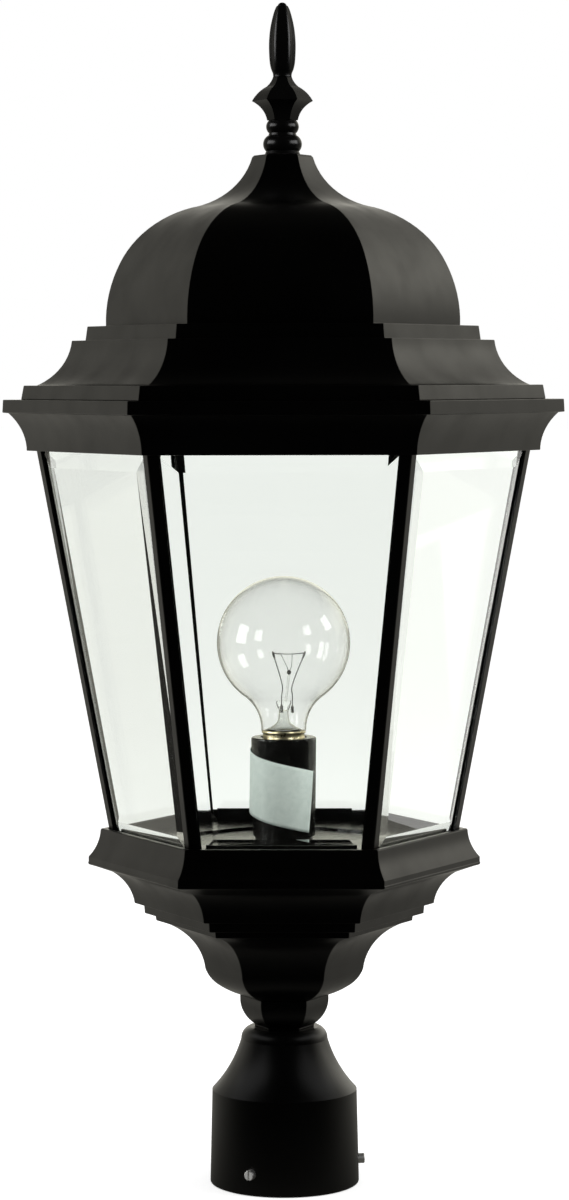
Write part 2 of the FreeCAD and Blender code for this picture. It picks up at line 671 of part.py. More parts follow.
def clip_screw_flat():
    return clip_tab_flat() + CLIP_THICKNESS + CLIP_GAP + CLIP_SCREW_HEAD_R


def clip_screw():
    """Screw up through a clip's tab into the flange."""
    seat = POST_TOP_Z - CLIP_THICKNESS
    screw = pan_head_screw(0, 0, 0, CLIP_SCREW_R, CLIP_SCREW_HEAD_R, CLIP_SCREW_HEAD, CLIP_SCREW_LENGTH)
    screw.rotate(V(0, 0, 0), V(1, 0, 0), 180)
    screw.translate(V(clip_screw_flat(), 0, seat))
    return screw


def radial_plate(*points):
    """Plate in the XZ plane with its thickness across it."""
    plate = outline(*points)
    plate.translate(V(0, -GUSSET_THICKNESS / 2, 0))
    return plate.extrude(V(0, GUSSET_THICKNESS, 0))


def gusset_seat_r(z):
    """Where a gusset meets the V at the back of a post."""
    spread = GUSSET_THICKNESS / 2 * math.tan(math.radians(30))
    return post_r(z) - POST_DEPTH - spread - GUSSET_GAP


def head_gusset():
    low = CROWN_Z + HEAD_GUSSET_RISE
    inner_r = gusset_seat_r(low + HEAD_GUSSET_SLANT) - HEAD_GUSSET_REACH
    return radial_plate((inner_r, POST_TOP_Z), (inner_r, low), (inner_r + GUSSET_TOE, low),
                        (gusset_seat_r(low + HEAD_GUSSET_SLANT), low + HEAD_GUSSET_SLANT),
                        (gusset_seat_r(POST_TOP_Z), POST_TOP_Z))


def foot_gusset():
    high = FLOOR_Z + FOOT_GUSSET_HEIGHT
    inner_r = gusset_seat_r(FLOOR_Z) - FOOT_GUSSET_REACH
    return radial_plate((inner_r, FLOOR_Z), (gusset_seat_r(FLOOR_Z), FLOOR_Z),
                        (gusset_seat_r(high), high), (inner_r + GUSSET_TOE, FLOOR_Z + FOOT_GUSSET_TOE))


# ---------------------------------------------------------------- crown frame

CROWN_INNER_R = POST_HEAD_R + POST_CLEARANCE
CROWN_INNER_TOP_R = post_r(POST_TOP_Z) + POST_CLEARANCE
CROWN_MOUTH_R = CROWN_INNER_TOP_R - CROWN_FLANGE_REACH / FLAT
CROWN_FASCIA_R = CROWN_INNER_R + CROWN_FASCIA_WALL
CROWN_RIM_R = CROWN_INNER_TOP_R + CROWN_RIM_REACH


def crown_frame():
    z_cove = CROWN_Z + CROWN_FASCIA_HEIGHT
    z_rim = z_cove + CROWN_COVE_HEIGHT
    cove_r = CROWN_RIM_R - CROWN_RIM_WIDTH
    frame = hexagonal((CROWN_INNER_R, CROWN_Z), (CROWN_FASCIA_R, CROWN_Z), (CROWN_FASCIA_R, z_cove),
                      (cove_r, z_rim, CROWN_COVE_SAG), (CROWN_RIM_R - 0.6, z_rim + CROWN_CHAMFER),
                      (CROWN_RIM_R, z_rim + CROWN_CHAMFER + 0.6, -0.2),
                      (CROWN_RIM_R - CROWN_RIM_DRAFT, CROWN_TOP_Z), (CROWN_MOUTH_R, CROWN_TOP_Z),
                      (CROWN_MOUTH_R, POST_TOP_Z), (CROWN_INNER_TOP_R, POST_TOP_Z))
    for y in (-bar_screw_y(), bar_screw_y()):
        frame = frame.cut(rod(BAR_SCREW_R + THREAD_PLAY, POST_TOP_Z - 1, CROWN_TOP_Z + 1, 0, y))
    clip_hole = rod(CLIP_SCREW_R + THREAD_PLAY, POST_TOP_Z - 1, POST_TOP_Z + CLIP_SCREW_LENGTH - 0.5,
                    clip_screw_flat(), 0)
    for k in range(6):
        frame = frame.cut(about_axis(clip_hole, 30 + 60 * k))
    return frame


# ---------------------------------------------------------------- roof, cross bar and rod

def roof_points():
    """The roof's outside, from the ledge up to the flat top."""
    ledge_r = CROWN_RIM_R - ROOF_LEDGE_SETBACK
    skirt_r = ledge_r - ROOF_LEDGE_DRAFT - ROOF_SKIRT_SETBACK
    step_r = skirt_r - ROOF_SKIRT_WIDTH
    high_step_r = step_r - ROOF_STEP_WIDTHS[0]
    dome_r = high_step_r - ROOF_STEP_DRAFT - ROOF_STEP_WIDTHS[1]
    z_ledge = CROWN_TOP_Z + ROOF_LEDGE_HEIGHT
    z_skirt = z_ledge + ROOF_SKIRT_HEIGHT
    z_step = z_skirt + ROOF_STEP_HEIGHT
    z_dome = z_step + ROOF_DOME_HEIGHT
    z_neck = z_dome + ROOF_NECK_HEIGHT
    return [
        (ledge_r, CROWN_TOP_Z),
        (ledge_r - ROOF_LEDGE_DRAFT, z_ledge),
        (skirt_r, z_ledge),
        (step_r, z_skirt, 4.2),
        (high_step_r, z_skirt),
        (high_step_r - ROOF_STEP_DRAFT, z_step),
        (dome_r, z_step),
        (ROOF_DOME_SHOULDER_R, z_step + ROOF_DOME_SHOULDER, -2.1),
        (ROOF_DOME_TOP_R, z_dome, -5.6),
        (ROOF_TOP_R, z_neck, 6.2),
        (ROOF_TOP_R - ROOF_TOP_EDGE, ROOF_TOP_Z),
    ]


def roof():
    outside = roof_points()
    body = hexagonal((0, CROWN_TOP_Z), *outside, (0, ROOF_TOP_Z))
    inside = moved_in(outside, ROOF_WALL, -ROOF_WALL)
    hollow = hexagonal((0, inside[0][1]), *inside, (0, inside[-1][1]))
    return body.cut(hollow).cut(rod(ROD_HOLE_R, CROWN_TOP_Z, ROOF_TOP_Z + 1))


BAR_Z = CROWN_TOP_Z
BAR_TOP_Z = BAR_Z + BAR_THICKNESS
ROD_LOW_Z = BAR_Z - ROD_TAIL
ROD_HIGH_Z = FINIAL_Z + ROD_GRIP


def bar_screw_y():
    return CROWN_MOUTH_R * FLAT + BAR_SCREW_INSET


def cross_bar():
    half = bar_screw_y() + BAR_SCREW_MARGIN
    bar = Part.makeBox(BAR_WIDTH, 2 * half, BAR_THICKNESS, V(-BAR_WIDTH / 2, -half, BAR_Z))
    bar = bar.makeFillet(BAR_CORNER, [e for e in bar.Edges if e.BoundBox.ZLength > BAR_THICKNESS / 2])
    bar = bar.cut(rod(ROD_R + BAR_HOLE_PLAY, BAR_Z - 1, BAR_TOP_Z + 1))
    for y in (-bar_screw_y(), bar_screw_y()):
        bar = bar.cut(rod(BAR_SCREW_R + BAR_HOLE_PLAY, BAR_Z - 1, BAR_TOP_Z + 1, 0, y))
    return bar


def bar_screw(y):
    """Screw down through the bar into the crown frame's flange."""
    return pan_head_screw(0, y, BAR_TOP_Z, BAR_SCREW_R, BAR_SCREW_HEAD_R, BAR_SCREW_HEAD, BAR_SCREW_LENGTH)


def rod_nut(low):
    nut = hexagon_prism(ROD_NUT_R, low, low + ROD_NUT_HEIGHT)
    return nut.cut(rod(ROD_R + ROD_PLAY, low - 1, low + ROD_NUT_HEIGHT + 1))


def finial_seal():
    ring = rod(SEAL_R, ROOF_TOP_Z, FINIAL_Z)
    return ring.cut(rod(ROD_HOLE_R, ROOF_TOP_Z - 1, FINIAL_Z + 1))


# ---------------------------------------------------------------- finial

def lobed_ring(radius, z, depth):
    """Closed smooth curve with lobes, level at height z."""
    count = 6 * FINIAL_LOBES
    ring = []
    for k in range(count):
        angle = 2 * math.pi * k / count
        r = radius - depth * (0.5 - 0.5 * math.cos(FINIAL_LOBES * angle))
        ring.append(V(r * math.cos(angle), r * math.sin(angle), z))
    curve = Part.BSplineCurve()
    curve.interpolate(Points=ring, PeriodicFlag=True)
    return Part.Wire(curve.toShape())


def finial_bud(low):
    """Lobed bud: widest below its middle, drawn to a blunt tip."""
    height = FINIAL_BUD_HEIGHT
    shape = [(0.0, 0.80, 0.3), (0.10, 0.93, 0.8), (0.25, 0.99, 1.0), (0.38, 1.0, 1.0), (0.52, 0.96, 1.0),
             (0.66, 0.865, 0.9), (0.78, 0.73, 0.7), (0.88, 0.58, 0.5), (0.95, 0.41, 0.3)]
    rings = [lobed_ring(FINIAL_BUD_R * r, low + height * t, FINIAL_LOBE_DEPTH * d) for t, r, d in shape]
    bud = Part.makeLoft(rings, True, False)
    t, r, _ = shape[-1]
    tip = turned((0, low + height * t), (FINIAL_BUD_R * r * 0.85, low + height * t),
                 (0, low + height, -FINIAL_BUD_R * 0.08))
    return bud.fuse(tip)


def finial():
    z = FINIAL_Z
    z_foot = z + FINIAL_FOOT_HEIGHT
    z_bead = z_foot + FINIAL_BEAD_HEIGHT
    z_small = z_bead + FINIAL_SMALL_BEAD_HEIGHT
    z_collar = z_small + FINIAL_COLLAR_LOWER
    z_edge = z_collar + FINIAL_COLLAR_EDGE
    z_stem = z_edge + FINIAL_COLLAR_UPPER
    z_bud = z_stem + FINIAL_BUD_STEM
    beads = turned(
        (0, z), (FINIAL_FOOT_R, z), (FINIAL_FOOT_R - 0.6, z_foot),
        (FINIAL_GROOVE_R + 0.3, z_bead, -(FINIAL_BEAD_R - FINIAL_FOOT_R + 1.6)),
        (FINIAL_GROOVE_R, z_bead + 1.2),
        (FINIAL_GROOVE_R, z_small, -(FINIAL_SMALL_BEAD_R - FINIAL_GROOVE_R)),
        (0, z_small))
    collar = hexagonal(
        (0, z_small), (FINIAL_COLLAR_NECK_R / FLAT, z_small), (FINIAL_COLLAR_R, z_collar, 1.6),
        (FINIAL_COLLAR_EDGE_R, z_edge), (FINIAL_COLLAR_WAIST_R, z_edge + FINIAL_COLLAR_WAIST, -0.7),
        (FINIAL_STEM_R, z_stem, 0.5), (0, z_stem))
    stem = turned((0, z_stem), (FINIAL_STEM_R, z_stem), (FINIAL_BUD_FOOT_R, z_bud, 0.3), (0, z_bud))
    body = beads.fuse(collar).fuse(stem).fuse(finial_bud(z_bud))
    return body.cut(rod(ROD_R + ROD_PLAY, z - 1, ROD_HIGH_Z + 1.5))


# ---------------------------------------------------------------- socket

SHELL_OUTER_R = BASE_R + BASE_PLAY + SHELL_THICKNESS
SOCKET_BORE_R = SHELL_OUTER_R + SHELL_GAP
SOCKET_BORE_Z = SOCKET_TOP_Z - SOCKET_BORE_DEPTH


def socket_body():
    low = SOCKET_Z
    body = turned((0, low), (SOCKET_FOOT_R, low), (SOCKET_R, SOCKET_TOP_Z - SOCKET_EDGE),
                  (SOCKET_R - SOCKET_EDGE, SOCKET_TOP_Z, -0.3), (0, SOCKET_TOP_Z))
    body = body.cut(rod(SOCKET_BORE_R, SOCKET_BORE_Z, SOCKET_TOP_Z + 1))
    return body.cut(rod(SOCKET_FOOT_R - SOCKET_WALL, low - 1, SOCKET_BORE_Z - SOCKET_WEB))


def socket_cap():
    boss_r = SOCKET_FOOT_R - SOCKET_WALL - 0.1
    cap = rod(SOCKET_FOOT_R - 1.5, DISH_Z, SOCKET_Z).fuse(rod(boss_r, DISH_Z, SOCKET_Z + SOCKET_CAP_BOSS))
    return threaded_hole(cap.removeSplitter(), DISH_Z, SOCKET_Z + SOCKET_CAP_BOSS)


def socket_shell():
    low = SOCKET_BORE_Z + SHELL_FLOOR
    high = low + SHELL_HEIGHT
    cup = rod(SHELL_OUTER_R, SOCKET_BORE_Z, high)
    cup = cup.cut(rod(SHELL_OUTER_R - SHELL_THICKNESS, low, high + 1))
    return cup.cut(rod(CONTACT_R + SHELL_FLOOR_HOLE, SOCKET_BORE_Z - 1, low + 1))


def socket_contact():
    return rod(CONTACT_R, SOCKET_BORE_Z, TIP_Z - TIP_GAP)


def socket_wrap():
    """Blank paper wrap round the front of the socket, with slanting edges."""
    inner = SOCKET_R + WRAP_GAP
    tube = rod(inner + WRAP_THICKNESS, SOCKET_Z, SOCKET_TOP_Z)
    tube = tube.cut(rod(inner, SOCKET_Z - 1, SOCKET_TOP_Z + 1))
    reach = 3 * SOCKET_R
    band = Part.makeBox(2 * reach, 2 * reach, WRAP_HIGH - WRAP_LOW, V(-reach, -reach, 0))
    band.rotate(V(0, 0, 0), V(0, 1, 0), WRAP_SLOPE)
    band.translate(V(0, 0, SOCKET_Z + WRAP_LOW))
    sector = Part.makeCylinder(reach, SOCKET_HEIGHT, V(0, 0, SOCKET_Z), V(0, 0, 1), WRAP_SWEEP)
    return tube.common(band).common(about_axis(sector, WRAP_START))


# ---------------------------------------------------------------- bulb

def bulb_glass():
    """Blown globe with a drawn neck, one wall thick."""
    neck_z = BASE_TOP_Z
    shoulder_z = neck_z + BULB_NECK_LENGTH
    shoulder_r = math.sqrt(BULB_R ** 2 - (BULB_CENTRE_Z - shoulder_z) ** 2)
    inner_r = BULB_R - BULB_GLASS
    inner_shoulder = math.sqrt(inner_r ** 2 - (BULB_CENTRE_Z - shoulder_z) ** 2)

    def side(radius, shoulder):
        """Arc from the top of the globe round to the shoulder."""
        middle_angle = (math.pi / 2 - math.acos(shoulder / radius)) / 2
        middle = V(radius * math.cos(middle_angle), 0, BULB_CENTRE_Z + radius * math.sin(middle_angle))
        top = V(0, 0, BULB_CENTRE_Z + radius)
        return Part.Arc(top, middle, V(shoulder, 0, shoulder_z)).toShape()

    def neck(shoulder, foot):
        start = V(shoulder, 0, shoulder_z)
        end = V(foot, 0, neck_z)
        middle = (start + end) * 0.5 + V(-2.6, 0, 1.6)
        return Part.Arc(start, middle, end).toShape()

    foot_r = BULB_NECK_R - BULB_GLASS
    edges = [
        side(BULB_R, shoulder_r),
        neck(shoulder_r, BULB_NECK_R),
        Part.LineSegment(V(BULB_NECK_R, 0, neck_z), V(foot_r, 0, neck_z)).toShape(),
        neck(inner_shoulder, foot_r),
        side(inner_r, inner_shoulder),
        Part.LineSegment(V(0, 0, BULB_CENTRE_Z + inner_r), V(0, 0, BULB_CENTRE_Z + BULB_R)).toShape(),
    ]
    section = Part.Face(Part.Wire(Part.__sortEdges__(edges)))
    return section.revolve(V(0, 0, 0), V(0, 0, 1), 360)


BASE_Z = BASE_TOP_Z - BASE_HEIGHT


def bulb_base():
    shoulder_z = BASE_Z + BASE_CHAMFER

    def filled(radius):
        return turned((0, BASE_Z), (radius - BASE_CHAMFER, BASE_Z), (radius, shoulder_z),
                      (radius, BASE_TOP_Z), (0, BASE_TOP_Z))

    return filled(BASE_R).cut(filled(BASE_R - BASE_THICKNESS))


def bulb_insulator():
    return turned((0, TIP_Z + TIP_HEIGHT), (INSULATOR_TIP_R, TIP_Z + TIP_HEIGHT),
                  (BASE_R - 1.2, BASE_Z), (0, BASE_Z))


def bulb_tip():
    top_z = TIP_Z + TIP_HEIGHT
    return turned((0, TIP_Z), (TIP_R * 0.5, TIP_Z), (TIP_R, top_z, -0.3), (0, top_z))


STEM_TOP_Z = BASE_TOP_Z + STEM_HEIGHT


def bulb_stem():
    flare_r = BULB_NECK_R - BULB_GLASS - 0.2
    flare_z = BASE_TOP_Z + STEM_FLARE_HEIGHT
    stem = turned((0, BASE_TOP_Z + 0.2), (flare_r, BASE_TOP_Z + 0.2), (STEM_R, flare_z, 2.2),
                  (STEM_R, STEM_TOP_Z - 1), (STEM_R - 1, STEM_TOP_Z), (0, STEM_TOP_Z))
    return stem


def wire(radius, points):
    """Round wire along straight runs, with a ball at each bend."""
    solid = None
    for a, b in zip(points, points[1:]):
        run = Part.makeCylinder(radius, (b - a).Length, a, b - a)
        solid = run if solid is None else solid.fuse(run)
    for bend in points[1:-1]:
        solid = solid.fuse(Part.makeSphere(radius, bend))
    return solid


def bulb_leads():
    top_z = STEM_TOP_Z + LEAD_RISE
    leads = []
    for side in (-1, 1):
        root = V(side * LEAD_ROOT, 0, STEM_TOP_Z + LEAD_R / 2)
        knee = V(side * LEAD_ROOT * 1.6, 0, STEM_TOP_Z + LEAD_RISE * 0.35)
        leads.append(wire(LEAD_R, [root, knee, V(side * LEAD_SPREAD, 0, top_z)]))
    return leads


def bulb_filament():
    """Coil carried in a flat arch from one lead to the other."""
    z = STEM_TOP_Z + LEAD_RISE - FILAMENT_R
    reach = LEAD_SPREAD - LEAD_R - 1.6 * FILAMENT_R
    steps = 8
    points = []
    for k in range(steps + 1):
        angle = math.pi * k / steps
        points.append(V(reach * math.cos(angle), -reach * math.sin(angle) * 0.8, z))
    return wire(FILAMENT_R, points)


# ---------------------------------------------------------------- assembly

def main():
    os.makedirs("parts", exist_ok=True)

    save("fitter", fitter())
    for number, angle in enumerate(SET_SCREW_ANGLES, 1):
        save("set_screw_%d" % number, set_screw(angle))
    save("neck_knob", neck_knob())
    save("nipple", nipple())
    save("fitter_washer", fitter_washer())
    save("fitter_lock_nut", lock_nut(LOWER_NUT_Z))
    save("pan_lock_nut", lock_nut(PAN_INSIDE_Z))

    save("pan", pan())
    save("floor_plate", floor_plate())
    save("floor_lock_nut", lock_nut(DISH_Z - FLOOR_THICKNESS - NUT_HEIGHT))

    post = corner_post()
    glass = pane()
    rail = bottom_rail()
    for k in range(6):
        save("corner_post_%d" % (k + 1), about_axis(post, 60 * k))
        save("glass_pane_%d" % (k + 1), about_axis(glass, 60 * k))
        save("bottom_rail_%d" % (k + 1), about_axis(rail, 60 * k))
    save("rail_screws", *[about_axis(rail_screw(), 30 + 60 * k) for k in range(6)])
    save("head_gussets", *[about_axis(head_gusset(), 60 * k) for k in range(6)])
    save("foot_gussets", *[about_axis(foot_gusset(), 60 * k) for k in range(6)])
    save("pane_clips", *[about_axis(pane_clip(), 30 + 60 * k) for k in range(6)])
    save("clip_screws", *[about_axis(clip_screw(), 30 + 60 * k) for k in range(6)])
    save("crown_frame", crown_frame())

    save("cross_bar", cross_bar())
    save("cross_bar_screws", *[bar_screw(y) for y in (-bar_screw_y(), bar_screw_y())])
    save("finial_rod", rod(ROD_R, ROD_LOW_Z, ROD_HIGH_Z))
    save("rod_nuts", rod_nut(BAR_Z - ROD_NUT_HEIGHT), rod_nut(BAR_TOP_Z))
    save("roof", roof())
    save("finial_seal", finial_seal())
    save("finial", finial())

    save("socket_cap", socket_cap())
    save("socket_body", socket_body())
    save("socket_shell", socket_shell())
    save("socket_contact", socket_contact())
    save("socket_wrap", socket_wrap())

    save("bulb_glass", bulb_glass())
    save("bulb_base", bulb_base())
    save("bulb_insulator", bulb_insulator())
    save("bulb_tip", bulb_tip())
    save("bulb_stem", bulb_stem())
    save("bulb_leads", *bulb_leads())
    save("bulb_filament", bulb_filament())


main()
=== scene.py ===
import json
import math

import bmesh
import bpy
from mathutils import Matrix, Vector


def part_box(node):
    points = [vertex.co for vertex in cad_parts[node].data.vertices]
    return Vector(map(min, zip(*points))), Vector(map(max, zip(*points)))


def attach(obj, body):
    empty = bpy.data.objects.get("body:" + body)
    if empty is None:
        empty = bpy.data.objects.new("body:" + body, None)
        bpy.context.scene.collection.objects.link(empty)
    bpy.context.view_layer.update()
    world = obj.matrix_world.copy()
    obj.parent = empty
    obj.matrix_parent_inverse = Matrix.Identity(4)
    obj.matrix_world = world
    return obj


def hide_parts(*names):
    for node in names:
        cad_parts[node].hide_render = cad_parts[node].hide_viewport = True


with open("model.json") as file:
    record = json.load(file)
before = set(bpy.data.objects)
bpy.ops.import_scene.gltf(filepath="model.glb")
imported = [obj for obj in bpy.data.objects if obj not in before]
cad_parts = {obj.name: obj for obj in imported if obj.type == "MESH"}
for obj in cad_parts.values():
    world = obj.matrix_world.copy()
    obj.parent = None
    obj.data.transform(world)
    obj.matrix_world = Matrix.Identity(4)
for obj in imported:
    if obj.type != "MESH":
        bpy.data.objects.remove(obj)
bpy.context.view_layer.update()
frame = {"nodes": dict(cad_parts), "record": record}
nodes = frame["nodes"]

MM = 0.001
FULL_TURN = 2 * math.pi

# The photograph's camera: its distance, height, tilt and turn, and its long lens
CAMERA_X = 0.034
CAMERA_DISTANCE = 2.039
CAMERA_HEIGHT = 0.4827
CAMERA_TILT = math.radians(3.71)
CAMERA_PAN = math.radians(0.017)
CAMERA_ROLL = math.radians(0.12)
CAMERA_LENS = 102.9
CAMERA_SENSOR = 36
CAMERA_NEAR = 0.05
CAMERA_FAR = 60

WARM_WHITE = (1.0, 0.97, 0.86)        # the studio's colour in gloss

# What gloss sees of the studio. Each line is a smooth change: where it starts and ends along one
# axis of a direction, and the value before and after it. Depth is -1 in front of the lantern and
# 1 behind it, side is 1 on the right, and height is 1 straight up.
BACK_BY_DEPTH = (-0.20, 0.50, 0.002, 0.5)
STRAIGHT_BACK_BY_DEPTH = (0.86, 0.98, 0.0, 0.7)
SHADE_BY_HEIGHT = (0.30, 0.70, 1.0, 0.05)
RIGHT_BY_SIDE = (0.1, 0.6, 0.0, 1.0)
RIGHT_BY_HEIGHT = (0.04, 0.22, 0.0, 1.55)
FLOOR_BY_DEPTH = (-0.25, 0.55, 0.003, 0.5)      # along the floor, in metres

ROOM_LIGHT = 0.55             # strength of the studio for rays that left a matt surface
FLOOR_GLOW = 0.6              # lifts the floor to white for the camera
FLOOR_SHADE = (0.78, 0.78, 0.78)
FLOOR_WHITE = (0.8, 0.8, 0.8)
FLOOR_CLOUDS = 3              # patches per metre
FLOOR_ROUGHNESS = 0.9
FLOOR_SHEEN = 0.1
FLOOR_SIZE = 30
FLOOR_DROP = 0.2 * MM         # keeps the floor clear of the fitter's foot

# Softboxes, which light every piece and show in none: name, place, size in metres, watts
LAMP_AIM = (0, 0, 0.35)
SOFTBOXES = (
    ("softbox_left", (-1.7, -0.5, 0.9), (0.9, 1.4), 14),
    ("softbox_right", (1.7, -0.4, 0.9), (0.9, 1.4), 18),
    ("softbox_top", (0, 0.2, 2.2), (1.4, 1.4), 12),
)

# Bright windows, each set for its own pieces alone: WINDOWS for glass, brass, the black socket and
# the set screws, the others for the finial and for the fitter. Turn from the front and rise in
# degrees, width and height in metres. A glow is in watts per square metre.
WINDOW_DISTANCE = 2.6
WINDOWS = ((-78, 12, 1.00, 1.15), (-46, 14, 0.42, 0.80), (46, 22, 0.50, 0.70), (91, 24, 0.70, 0.80))
WINDOW_SLOTS = ("pane_glass", "bulb_glass", "stem_glass", "brass", "black_socket")
WINDOW_GLOW = 22
FINIAL_WINDOWS = ((-75, 15, 2.4, 1.2), (75, 15, 2.4, 1.2))
FINIAL_AIM = (0, 0, 0.65)
FINIAL_GLOW = 55
FITTER_WINDOWS = ((-80, 40, 3.0, 1.2), (80, 40, 3.0, 1.2))
FITTER_AIM = (0, 0, 0.07)
FITTER_GLOW = 1.3

# A card that lies on the floor behind the lantern and shows in the panes on the right
CARD_PLACE = (0.66, 0.48, 0.02)
CARD_SIZE = (1.3, 1.0)
CARD_POWER = 6.5

# Casting details that the solids leave out
CORNER_ROUND = 1.1 * MM       # radius down the hexagonal corners
CORNER_SHARE = 0.2            # most of a corner's distance from the axis that its radius may take
CORNER_STEPS = (-30, -18, -6, 6, 18, 30)      # degrees either side of a corner's middle
EDGE_ROUND = 0.5 * MM         # radius along steps and rims
EDGE_SHARE = 0.45             # most of a flat beside an edge that its rounding may take
EDGE_TURN = 25                # an edge that turns less than this, in degrees, is left as it is
EDGE_STEPS = 3                # pieces of the arc that rounds an edge
POST_ROUND = 0.35 * MM

# Shell castings: piece, node and body
CASTINGS = (
    ("roof_casting", "roof", "roof"),
    ("pan_casting", "pan", "lantern"),
    ("crown_casting", "crown_frame", "lantern"),
    ("knob_casting", "neck_knob", "lantern"),
)

# Rounds along the sharp edges of solids that are shown as they are
EDGE_ROUNDS = {
    "floor_plate": 0.5 * MM,
    "foot_gussets": 0.25 * MM,
    "head_gussets": 0.25 * MM,
    "pane_clips": 0.1 * MM,
    "cross_bar": 0.4 * MM,
    "socket_cap": 0.3 * MM,
    "fitter_lock_nut": 0.3 * MM,
    "pan_lock_nut": 0.3 * MM,
    "floor_lock_nut": 0.3 * MM,
    "rod_nuts": 0.3 * MM,
    "fitter_washer": 0.2 * MM,
}
ROUND_SEGMENTS = 2
ROUND_ANGLE = math.radians(35)        # an edge that turns more than this is sharp

# Width of the bevels ground on each pane
PANE_SIDE_BEVEL_LOW = 10.5 * MM
PANE_SIDE_BEVEL_HIGH = 12.6 * MM
PANE_HEAD_BEVEL = 12.0 * MM
PANE_FOOT_BEVEL = 12.0 * MM

# Screw threads: pitch, and depth where sheet metal is rolled
BULB_PITCH = 3.63 * MM
BULB_THREAD = 0.85 * MM
SHELL_THREAD = 0.25 * MM
ROD_PITCH = 1.0 * MM
PIPE_PITCH = 1.41 * MM
PIPE_BORE = 4.5 * MM          # radius of the hole through the nipple
CUT_DEPTH = 0.61              # depth of a cut thread, in pitches
CUT_RUN_OUT = 0.6             # plain length at each end of it, in pitches
THIN_ROD = 4 * MM             # a rod under this radius needs fewer sides
THIN_ROD_SIDES = 24
WIDE_ROD_SIDES = 36
RINGS_PER_PITCH = 6
ROLLED_SIDES = 72

# The bulb's rolled base: inset from the crest of the thread, and rise from its foot or drop from
# its mouth, in millimetres
BASE_FOOT = ((1.6, 0.0), (1.1, 0.5))
BASE_FOOT_HEIGHT = 1.2 * MM
BASE_MOUTH = ((0.7, 1.9), (0.15, 1.5), (0.0, 1.0), (0.1, 0.4), (0.25, 0.0))
BASE_MOUTH_HEIGHT = 2.2 * MM
BASE_WALL = 0.3 * MM

# The socket's shell: its sheet, and the hole and the sheet of its floor
SHELL_WALL = 0.2 * MM
SHELL_FLOOR_HOLE = 5.5 * MM
SHELL_FLOOR_WALL = 0.4 * MM

# Where each lead wire leaves the stem, bends and ends, to the right of the bulb's axis, and the
# height of the first three knots from the foot of the leads
LEAD_BENDS = ((-1.2 * MM, -1.0 * MM, -6.6 * MM), (5.2 * MM, 5.4 * MM, 13.0 * MM))
LEAD_ROOT = -7.5 * MM
LEAD_EXIT = 2.0 * MM
LEAD_KNEE = 9.5 * MM
LEAD_RADIUS = 0.32 * MM
LEAD_PRESS_LIMIT = -3.5 * MM  # below this the wire is thick, where the press holds it
LEAD_PRESS_RADIUS = 0.9 * MM
LEAD_CLAMP_LENGTH = 4.0 * MM
LEAD_CLAMP_RADIUS = 0.72 * MM
LEAD_END_RADIUS = 0.5 * MM

# The bead on its glass rod, from the foot or down from the top of the leads
BEAD_X = 3.2 * MM
BEAD_DROP = 12.6 * MM
BEAD_RADIUS = 1.35 * MM
BEAD_ROD_X = 1.2 * MM
BEAD_ROD_DROP = 0.5 * MM
BEAD_ROD_GAP = 1.4 * MM
BEAD_ROD_RADIUS = 0.75 * MM

# The two hooks that hold the coil up
HOOK_MIDDLE = 1.6 * MM
HOOK_SPREAD = 3.6 * MM
HOOK_FORWARD = 4.6 * MM
HOOK_DROP = 1.2 * MM
HOOK_END = 0.7 * MM
HOOK_BEND = (1.6 * MM, -2.2 * MM, 4.4 * MM)
HOOK_WIRE = 0.16 * MM

COIL_DROP = 1.0 * MM          # how far under the tips of the leads the coil starts
COIL_RADIUS = 0.33 * MM
COIL_PITCH = 0.42 * MM
COIL_WIRE = 0.09 * MM
COIL_STEPS = 8                # points on each turn

# The bulb's stem: a thin flare that narrows to a neck, with a flattened press above it
STEM_WALL = 0.45 * MM
STEM_LIP = 0.6 * MM           # how far the flare stays inside the node's radius
STEM_NECK = 3.0 * MM
STEM_FLARE_HEIGHT = 8.5 * MM
STEM_FLARE_STEPS = 9
STEM_FLARE_CURVE = 2.6
STEM_PRESS_DROP = 6.0 * MM    # foot of the press, below the stem's top
STEM_PRESS_HEIGHT = 4.6 * MM
STEM_PRESS_STEPS = (0.35, 0.7, 1.0)   # shares of its height
STEM_PRESS_R = 2.9 * MM       # radius at its foot
STEM_PRESS_SPREAD = 1.6 * MM
STEM_PRESS_SQUEEZE = 1.7 * MM
STEM_TOP_WIDTH = 0.9          # what is left of the press's width at the very top
STEM_TOP_DEPTH = 0.6
STEM_SIDES = 48

# The paper round the socket: angles from the front, right-hand side positive
PAPER_START = math.radians(-165)
PAPER_END = math.radians(61)
PAPER_LEAN = math.radians(15)         # how much further the head of the free edge reaches
PAPER_LEVEL = math.radians(-90)       # where the foot of the paper is at PAPER_LOW
PAPER_FALL = 4.6 * MM                 # per radian round to the right
PAPER_LOW = 14.0 * MM
PAPER_HEIGHT = 37.5 * MM
PAPER_GAP = 0.25 * MM
PAPER_THICKNESS = 0.18 * MM
PAPER_BULGE = 0.9 * MM                # how far it stands off on the left
PAPER_BULGE_ANGLE = -1.75             # radians from the front
PAPER_BULGE_WIDTH = 0.55
PAPER_BULGE_FOOT = 1.25               # the bulge's share at the foot; it loses 1 up to the head
PAPER_RIPPLE = 0.12 * MM
PAPER_RIPPLES = 9                     # phase per radian round
PAPER_RIPPLE_LEAN = 3                 # phase from foot to head
PAPER_DIP = 0.05 * MM                 # deepest that a ripple goes in
PAPER_CURL = 1.3 * MM                 # lift of the free edge
PAPER_CURL_START = 0.93               # share of the way round
PAPER_CURL_HEAD = 0.4                 # share of the curl that is left at the head
PAPER_GRID = (72, 18)                 # faces round and up


# ---------------------------------------------------------------- materials

# Noise stays mostly between these values
NOISE_LOW = 0.3
NOISE_HIGH = 0.7

